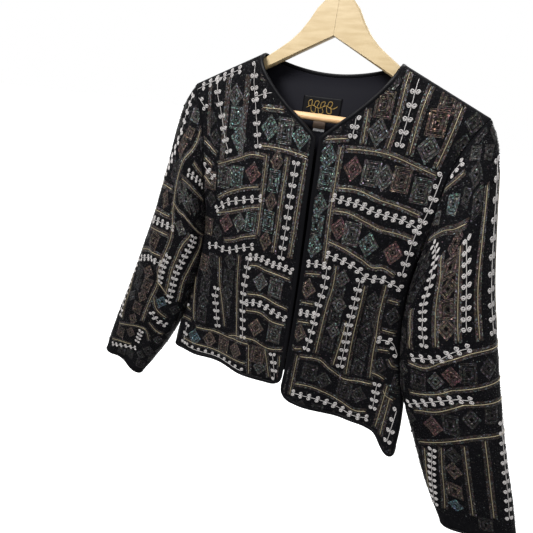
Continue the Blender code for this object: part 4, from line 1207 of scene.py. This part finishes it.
# Pattern coordinates of a body panel: x across, and the drop counted upwards.
def bodyUv(gridX, gridDrop):
    return np.stack([gridX, -gridDrop], axis=-1)


# One front: its grid from the opening to the side, the wall over it, its beadwork and its binding. The
# binding's path runs over the hem from the side to the opening, and up the opening and the neckline.
def makeFront(side, materials):
    name = "left" if side < 0 else "right"
    hem = hemLeft if side < 0 else hemRight
    folds = foldsLeft if side < 0 else foldsRight
    edge = openingEdge(side)
    gridX, gridDrop = panelGrid(edge, hem, frontColumns, side)
    outer, normals, inner = bodyPanel("front", gridX, gridDrop, folds, bodyCreases[name])
    shell = wall("front_" + name + "_cloth", outer, inner, bodyUv(gridX, gridDrop), materials["cloth"],
                 "cloth", ("front_" + name,))
    sample = bodySampler("front", side, folds, bodyCreases[name], hem, edge)
    trims = dressPanel("front_" + name, name, sample, materials)
    path = np.concatenate([outer[0, ::-1], outer[1:, 0]])
    edgeNormals = np.concatenate([normals[0, ::-1], normals[1:, 0]])
    # Places inside the cloth, beside the path's own; round the hem's corner one place serves them all.
    near, corner = finer["rows"], outer.shape[1] - 1
    inside = np.concatenate([outer[near, ::-1], outer[1:, near]])
    inside[corner - near:corner + near + 1] = outer[4 * near, 4 * near]
    boundEdge("front_binding_" + name, path, edgeNormals, inside, sizes["bindingWide"], materials["binding"],
              seamSide=-1)
    return outer, normals


# The back: two halves of one grid, joined at the middle, with the neck's and the hem's bindings.
def makeBack(materials):
    share = backColumns[neckColumns]
    halves = [panelGrid(np.zeros_like, hemBack, backColumns, side, share) for side in (-1, 1)]
    gridX, gridDrop = (np.concatenate([first[:, ::-1], second[:, 1:]], axis=1)
                       for first, second in zip(*halves))
    outer, normals, inner = bodyPanel("back", gridX, gridDrop, foldsBack, bodyCreases["back"])
    shell = wall("back_cloth", outer, inner, bodyUv(gridX, gridDrop), materials["cloth"], "cloth",
                 ("back",))
    sample = bodySampler("back", 1, foldsBack, bodyCreases["back"], hemBack, None)
    trims = dressPanel("back", "back", sample, materials)
    middle = (outer.shape[1] - 1) // 2
    reach = neckColumns * finer["columns"]
    neck = slice(middle - reach, middle + reach + 1)
    near = 2 * finer["rows"]
    boundEdge("neck_binding_back", outer[-1, neck], normals[-1, neck], outer[-1 - near, neck],
              sizes["bindingWide"], materials["binding"], seamSide=1)
    boundEdge("hem_binding_back", outer[0], normals[0], outer[near], sizes["hemBindingWide"],
              materials["binding"], seamSide=1)
    return outer, normals


# Black lining just inside the back: the back's grid less a strip at the hem and the sides, moved inwards
# along the normals.
def makeLining(outer, normals, materials):
    face = outer - normals * (sizes["cloth"] + sizes["seam"])
    under = face - normals * sizes["lining"]
    near = finer["rows"]
    rows, cols = slice(near, None), slice(near, -near)
    uv = np.zeros(face[rows, cols].shape[:2] + (2,))
    shell = wall("back_lining_cloth", face[rows, cols], under[rows, cols], uv, materials["lining"], "lining",
                 ("back_lining",))


# The woven pieces sewn inside the back neck: extent in x and drop, how far each stands above a seam's
# gap over the lining, and its thickness
patches = {
    "label_cloth": {"x": (-0.037, 0.020), "drop": (0.045, 0.072), "above": 0.0, "thick": 0.0007,
                    "finish": "label", "slot": "label", "replaces": ("label",)},
    "size_tag_cloth": {"x": (-0.016, 0.001), "drop": (0.080, 0.0905), "above": 0.0, "thick": 0.0006,
                       "finish": "size_tag", "slot": "size_tag", "replaces": ("size_tag",)},
    "size_tag_fold": {"x": (-0.0165, 0.0015), "drop": (0.074, 0.0865), "above": 0.0009, "thick": 0.0006,
                      "finish": "tag_brown", "slot": "size_tag", "replaces": ()},
}
patchGrid = {"columns": 25, "rows": 17}


# One of the patches: the back's form over its extent, moved inwards along the normals by the cloth, the
# lining and the gaps between them.
def patchOnLining(name, patch, materials):
    drops = np.linspace(patch["drop"][1], patch["drop"][0], patchGrid["rows"])
    x, drop = np.meshgrid(np.linspace(*patch["x"], patchGrid["columns"]), drops)
    outer = bodyPoint(x, drop, "back", foldsBack, bodyCreases["back"])
    normals = faceOut(outer, gridNormals(outer))
    lift = sizes["seam"] + patch["above"]
    face = outer - normals * (sizes["cloth"] + sizes["seam"] + sizes["lining"] + lift)
    wall(name, face, face - normals * patch["thick"], bodyUv(x, drop), materials[patch["finish"]],
         patch["slot"], patch["replaces"])


# The mark on the label: a stem with leaves to both sides, (x, drop) in mm
labelMark = [
    [(-31, 61), (-22, 57), (-12, 60), (-2, 56), (9, 59), (15, 55)],
    [(-27, 59), (-28, 52), (-24, 50), (-23, 57)], [(-20, 58), (-17, 51), (-13, 51), (-15, 59)],
    [(-10, 60), (-8, 52), (-4, 51), (-5, 57)], [(0, 57), (3, 50), (7, 51), (5, 58)],
    [(-24, 58), (-22, 65), (-17, 66), (-17, 59)], [(-13, 60), (-10, 67), (-5, 65), (-7, 59)],
    [(-1, 57), (2, 65), (7, 65), (6, 59)],
]
labelThread = {"step": 0.8, "radius": 0.42, "lift": 0.3}


# The label's mark: a leafy flourish of mustard thread laid along the table's lines.
def makeLabelMark(materials):
    mark = Store()

    def sample(uv):
        outer = bodyPoint(uv[:, 0], uv[:, 1], "back", foldsBack, bodyCreases["back"])
        normal = np.tile([0.0, -1.0, 0.0], (len(uv), 1))
        depth = sizes["cloth"] + sizes["lining"] + 2 * sizes["seam"] + patches["label_cloth"]["thick"]
        return outer + normal * depth, normal, np.ones(len(uv), bool)

    for line in labelMark:
        addCord(mark, sample, line, labelThread)
    place("label_mark", mark.mesh("label_mark"), materials["thread"], "label")


# Sleeve sections after the armhole
sleeveColumns = ("outerX", "outerDrop", "innerX", "innerDrop", "depth", "forward")
sleeveSections = {
    "right": [
        (0.2260, 0.088, 0.1708, 0.242, 0.033, 0.002),
        (0.2430, 0.155, 0.1698, 0.263, 0.038, 0.004),
        (0.2670, 0.244, 0.1710, 0.300, 0.038, 0.006),
        (0.2930, 0.320, 0.1775, 0.352, 0.036, 0.008),
        (0.3190, 0.392, 0.1955, 0.420, 0.032, 0.010),
        (0.3450, 0.460, 0.2290, 0.488, 0.028, 0.011),
        (0.3740, 0.530, 0.2640, 0.557, 0.024, 0.010),
        (0.3970, 0.588, 0.3000, 0.617, 0.019, 0.008),
    ],
    "left": [
        (0.2250, 0.088, 0.1735, 0.242, 0.033, 0.002),
        (0.2400, 0.155, 0.1704, 0.263, 0.038, 0.004),
        (0.2630, 0.244, 0.1716, 0.300, 0.038, 0.006),
        (0.2890, 0.320, 0.1775, 0.352, 0.036, 0.009),
        (0.3160, 0.396, 0.1940, 0.422, 0.032, 0.011),
        (0.3440, 0.466, 0.2220, 0.490, 0.028, 0.012),
        (0.3720, 0.536, 0.2620, 0.558, 0.023, 0.011),
        (0.3920, 0.586, 0.2960, 0.611, 0.017, 0.009),
    ],
}
# "square" is the power that squares the sections. The cuff arches up by a Gaussian over the cosine of the
# angle. "foot" turns the armhole's normals down under the arm, over so many rows of the coarse grid.
sleeveShape = {"square": 0.85, "cuffArch": {"left": 0.012, "right": 0.003}, "archMiddle": 0.05,
               "archWidth": 0.55, "creasesFrom": 0.12, "blend": 0.05,
               "foot": ([0, 1, 2, 3], [1.0, 0.6, 0.25, 0.0])}
# Creases: place along the sleeve, angle round it, half sizes, slant, height. The short ones come last.
sleeveCreaseColumns = ("along", "angle", "halfAlong", "halfAngle", "slant", "height")
sleeveCreases = {
    "right": [
        (0.34, 1.75, 0.070, 0.50, 0.10, -0.0045),
        (0.46, 1.35, 0.060, 0.55, -0.12, 0.0040),
        (0.58, 1.90, 0.060, 0.55, 0.12, -0.0045),
        (0.70, 1.30, 0.070, 0.50, -0.10, 0.0035),
        (0.45, 4.60, 0.060, 0.60, 0.12, -0.0045),
        (0.60, 4.90, 0.070, 0.55, -0.12, 0.0040),
        (0.90, 1.95, 0.120, 0.40, 0.00, -0.0050),
        (0.24, 2.10, 0.022, 0.45, 0.16, 0.0022),
        (0.40, 2.20, 0.022, 0.50, 0.14, 0.0036),
        (0.52, 1.60, 0.020, 0.50, -0.14, -0.0034),
        (0.64, 2.10, 0.022, 0.45, 0.12, 0.0032),
        (0.30, 4.20, 0.022, 0.50, 0.14, 0.0024),
        (0.52, 5.00, 0.022, 0.50, -0.14, -0.0024),
        (0.74, 4.40, 0.022, 0.50, 0.12, 0.0022),
    ],
    "left": [
        (0.30, 1.90, 0.070, 0.50, 0.12, -0.0050),
        (0.42, 1.25, 0.060, 0.50, 0.12, 0.0045),
        (0.54, 1.70, 0.060, 0.60, 0.14, -0.0050),
        (0.66, 1.20, 0.060, 0.50, -0.12, 0.0040),
        (0.43, 4.70, 0.060, 0.60, -0.12, -0.0045),
        (0.58, 4.50, 0.070, 0.55, 0.12, 0.0040),
        (0.93, 1.75, 0.120, 0.42, 0.00, -0.0065),
        (0.22, 2.20, 0.022, 0.45, 0.16, 0.0024),
        (0.36, 2.10, 0.020, 0.50, 0.16, 0.0036),
        (0.48, 1.60, 0.022, 0.55, 0.15, 0.0036),
        (0.60, 2.00, 0.020, 0.50, 0.14, -0.0034),
        (0.74, 1.50, 0.022, 0.45, -0.12, 0.0020),
        (0.34, 4.40, 0.022, 0.50, -0.14, 0.0024),
        (0.66, 4.90, 0.022, 0.50, 0.14, 0.0024),
    ],
}


# The sleeve's first ring: the armhole's edge of the front and of the back, one seam's gap further out.
def armholeRing(side, front, frontNormals, back, backNormals):
    column = 0 if side < 0 else -1
    start = lowerRows * finer["rows"]
    ring, normals = (np.concatenate([ahead[start:, -1][::-1], behind[start:, column][1:-1]])
                     for ahead, behind in ((front, back), (frontNormals, backNormals)))
    foot = (len(shoulderRows) - 1) * finer["rows"]
    ring[[0, foot], 1] = 0.0
    # Under the arm the sleeve leaves the body sideways, so its outside faces down there.
    away = np.abs(np.arange(len(ring)) - foot) / finer["rows"]
    share = np.interp(away, *sleeveShape["foot"])[:, None]
    normals = unit((1 - share) * normals - share * np.array([0.0, 0.0, 1.0]))
    chest = np.array([side * sizes["neckHalf"], 0.0, sizes["neckLevel"] - sizes["armpitDrop"] / 2])
    out = edgeDirections(ring, normals, chest, closed=True)
    out *= np.where(out[:, :1] * side < 0, -1, 1)
    return ring + out * sizes["seam"], normals


# A tube's normals, turned away from its middle, which one of its rings tells.
def tubeNormals(tube):
    normals = gridNormals(tube, wrap=True)
    ring = len(tube) // 6
    away = tube[ring] - tube[ring].mean(axis=0)
    return normals if np.sum(normals[ring] * away) > 0 else -normals


# A tube from the armhole through the sleeve's sections, with its creases pressed along the normals.
def makeSleeve(side, front, frontNormals, back, backNormals, materials):
    name = "left" if side < 0 else "right"
    ring, ringNormals = armholeRing(side, front, frontNormals, back, backNormals)
    angle = 2 * math.pi * np.arange(len(ring)) / len(ring)
    sections = [ring]
    for row in sleeveSections[name]:
        s = dict(zip(sleeveColumns, row))
        outer = np.array([side * s["outerX"], sizes["neckLevel"] - s["outerDrop"]])
        inner = np.array([side * s["innerX"], sizes["neckLevel"] - s["innerDrop"]])
        plan = (outer + inner) / 2 + np.cos(angle)[:, None] * (outer - inner) / 2
        bulge = np.sign(np.sin(angle)) * np.abs(np.sin(angle)) ** sleeveShape["square"]
        sections.append(np.stack([plan[:, 0], -s["depth"] * bulge - s["forward"], plan[:, 1]], axis=-1))
    sections = np.array(sections)
    fromArch = (np.cos(angle) - sleeveShape["archMiddle"]) / sleeveShape["archWidth"]
    sections[-1, :, 2] += sleeveShape["cuffArch"][name] * np.exp(-fromArch ** 2)
    steps = np.linalg.norm(np.diff(sections.mean(axis=1), axis=0), axis=-1)
    length = float(np.sum(steps))
    at = np.concatenate([[0], np.cumsum(steps)]) / length
    share = np.linspace(0, 1, finer["sleeveSteps"])
    tube = hermite(at, sections, np.gradient(sections, at, axis=0), share)
    across, down = np.meshgrid(angle, share)
    height = np.zeros_like(down)
    for row in sleeveCreases[name]:
        c = dict(zip(sleeveCreaseColumns, row))
        turn = (across - c["angle"] + math.pi) % (2 * math.pi) - math.pi
        fromMiddle = (down - c["along"] - c["slant"] * turn) / c["halfAlong"]
        height += c["height"] * np.exp(-fromMiddle ** 2 - (turn / c["halfAngle"]) ** 2)
    height *= ease(down / sleeveShape["creasesFrom"] - 1)
    tube += tubeNormals(tube) * height[..., None]
    normals = tubeNormals(tube)
    # The first rings take over the body's normals, so that no edge shows at the armhole.
    blend = ease(share / sleeveShape["blend"])[:, None, None]
    normals = unit(normals * blend + ringNormals * (1 - blend))
    uv = np.stack([across, -down * length], axis=-1)
    shell = wall("sleeve_" + name + "_cloth", tube, tube - normals * sizes["cloth"], uv, materials["cloth"],
                 "cloth", ("sleeve_" + name,), wrap=True)
    sample = sleeveSampler(tube, normals, length)
    key = "sleeveLeft" if side < 0 else "sleeveRight"
    trims = dressPanel("sleeve_" + name, key, sample, materials)
    boundEdge("cuff_binding_" + name, tube[-1], normals[-1], tube[-3], sizes["hemBindingWide"],
              materials["binding"])


# The white floor and surroundings, and the lamps: name, place, aim, power and size. The surroundings'
# strength runs over a range of the dot product of a direction with "towards".
studio = {
    "floor": {"half": 40.0, "z": -1.25, "colour": (0.93, 0.93, 0.93), "roughness": 0.9, "glow": 0.62},
    "towards": (0.0, 1.5, 0.6),
    "range": (-0.5, 0.5),
    "strength": (0.30, 1.0),
    "lamps": [
        ("key", (-0.7, -1.25, 0.85), (0.0, 0.0, -0.26), 44.0, 0.7),
        ("fill", (1.4, -1.3, 0.3), (0.0, 0.0, -0.40), 8.0, 1.2),
        ("back", (0.2, 1.8, 0.8), (0.0, 0.0, -0.45), 14.0, 1.2),
    ],
}


# The floor is white to the camera and throws no light up at the cloth.
def makeFloor():
    look = studio["floor"]
    half, z = look["half"], look["z"]
    mesh = bpy.data.meshes.new("floor")
    mesh.from_pydata([(-half, -half, z), (half, -half, z), (half, half, z), (-half, half, z)], [],
                     [(0, 1, 2, 3)])
    floor = bpy.data.objects.new("floor", mesh)
    bpy.context.scene.collection.objects.link(floor)
    pale = makeMaterial("floor", look)
    shader = pale.node_tree.nodes["Principled BSDF"]
    shader.inputs["Emission Color"].default_value = (1.0, 1.0, 1.0, 1.0)
    shader.inputs["Emission Strength"].default_value = look["glow"]
    floor.data.materials.append(pale)
    floor.visible_diffuse = False
    floor.visible_glossy = False


# White behind and above the garment, dimmer in front of it, so that the lamps shape the cloth: the strength
# is the larger of that range and of the camera's own rays, which see white all round.
def makeWorld():
    world = bpy.data.worlds.new("studio")
    bpy.context.scene.world = world
    world.use_nodes = True
    tree = world.node_tree
    background = tree.nodes["Background"]
    background.inputs["Color"].default_value = (1.0, 1.0, 1.0, 1.0)
    where = tree.nodes.new("ShaderNodeTexCoord")
    facing = tree.nodes.new("ShaderNodeVectorMath")
    facing.operation = "DOT_PRODUCT"
    facing.inputs[1].default_value = studio["towards"]
    level = tree.nodes.new("ShaderNodeMapRange")
    for label, pair in (("From", studio["range"]), ("To", studio["strength"])):
        level.inputs[label + " Min"].default_value = pair[0]
        level.inputs[label + " Max"].default_value = pair[1]
    ray = tree.nodes.new("ShaderNodeLightPath")
    brighter = tree.nodes.new("ShaderNodeMath")
    brighter.operation = "MAXIMUM"
    tree.links.new(where.outputs["Generated"], facing.inputs[0])
    tree.links.new(facing.outputs["Value"], level.inputs["Value"])
    tree.links.new(level.outputs["Result"], brighter.inputs[0])
    tree.links.new(ray.outputs["Is Camera Ray"], brighter.inputs[1])
    tree.links.new(brighter.outputs["Value"], background.inputs["Strength"])


# The area lamps, each turned to its aim: right and up are cross products with the forward direction.
def makeLamps():
    for name, where, aim, power, wide in studio["lamps"]:
        data = bpy.data.lights.new(name, "AREA")
        data.energy = power
        data.size = wide
        lamp = bpy.data.objects.new(name, data)
        bpy.context.scene.collection.objects.link(lamp)
        forward = unit(np.array(aim) - np.array(where))
        right = unit(np.cross(forward, (0.0, 0.0, 1.0)))
        setAxes(lamp, right, np.cross(right, forward), forward, where)


# Places an object by its right, up and forward directions.
def setAxes(obj, right, up, forward, where):
    rows = [[right[k], up[k], -forward[k], where[k]] for k in range(3)]
    obj.matrix_world = [list(column) for column in zip(*(rows + [[0.0, 0.0, 0.0, 1.0]]))]


# The photo's camera: degrees, and millimetres for the lens on a sensor of the given width
view = {"place": (0.2103, -0.5683, -0.2096), "yaw": 24.66, "pitch": -20.68, "roll": 7.89, "lens": 28.02,
        "sensor": 36.0, "nearest": 0.01}


# The camera: yaw and pitch give its forward direction, and the roll turns right and up about it.
def makeCamera():
    yaw, pitch, roll = (math.radians(view[k]) for k in ("yaw", "pitch", "roll"))
    forward = np.array([-math.sin(yaw) * math.cos(pitch), math.cos(yaw) * math.cos(pitch), math.sin(pitch)])
    right0 = unit(np.cross(forward, (0.0, 0.0, 1.0)))
    up0 = np.cross(right0, forward)
    right = math.cos(roll) * right0 + math.sin(roll) * up0
    up = -math.sin(roll) * right0 + math.cos(roll) * up0
    data = bpy.data.cameras.new("camera")
    data.lens = view["lens"]
    data.sensor_width = view["sensor"]
    data.clip_start = view["nearest"]
    camera = bpy.data.objects.new("camera", data)
    bpy.context.scene.collection.objects.link(camera)
    setAxes(camera, right, up, forward, view["place"])
    bpy.context.scene.camera = camera


# The hanger keeps its CAD meshes and takes these finishes.
hangerFinishes = {"hanger_arm_left": "wood", "hanger_arm_right": "wood", "hanger_bar": "barWood",
                  "hook": "steel"}


# Gives the hanger's own nodes their materials.
def dressNodes(materials):
    for node, finish in hangerFinishes.items():
        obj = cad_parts[node]
        obj.data.materials.clear()
        obj.data.materials.append(materials[finish])


# All pieces in the order of their random draws, then the stage and the camera.
def main():
    materials = {name: makeMaterial(name, finish) for name, finish in finishes.items()}
    print("materials made")
    dressNodes(materials)
    left, leftNormals = makeFront(-1, materials)
    right, rightNormals = makeFront(1, materials)
    back, backNormals = makeBack(materials)
    print("body made")
    makeLining(back, backNormals, materials)
    makeSleeve(-1, left, leftNormals, back, backNormals, materials)
    makeSleeve(1, right, rightNormals, back, backNormals, materials)
    print("sleeves made")
    for name, patch in patches.items():
        patchOnLining(name, patch, materials)
    makeLabelMark(materials)
    print("label and size tag made")
    makeFloor()
    makeWorld()
    makeLamps()
    makeCamera()
    bpy.context.scene.view_settings.view_transform = "Standard"
    bpy.context.view_layer.update()
    print("stage and camera made")


main()
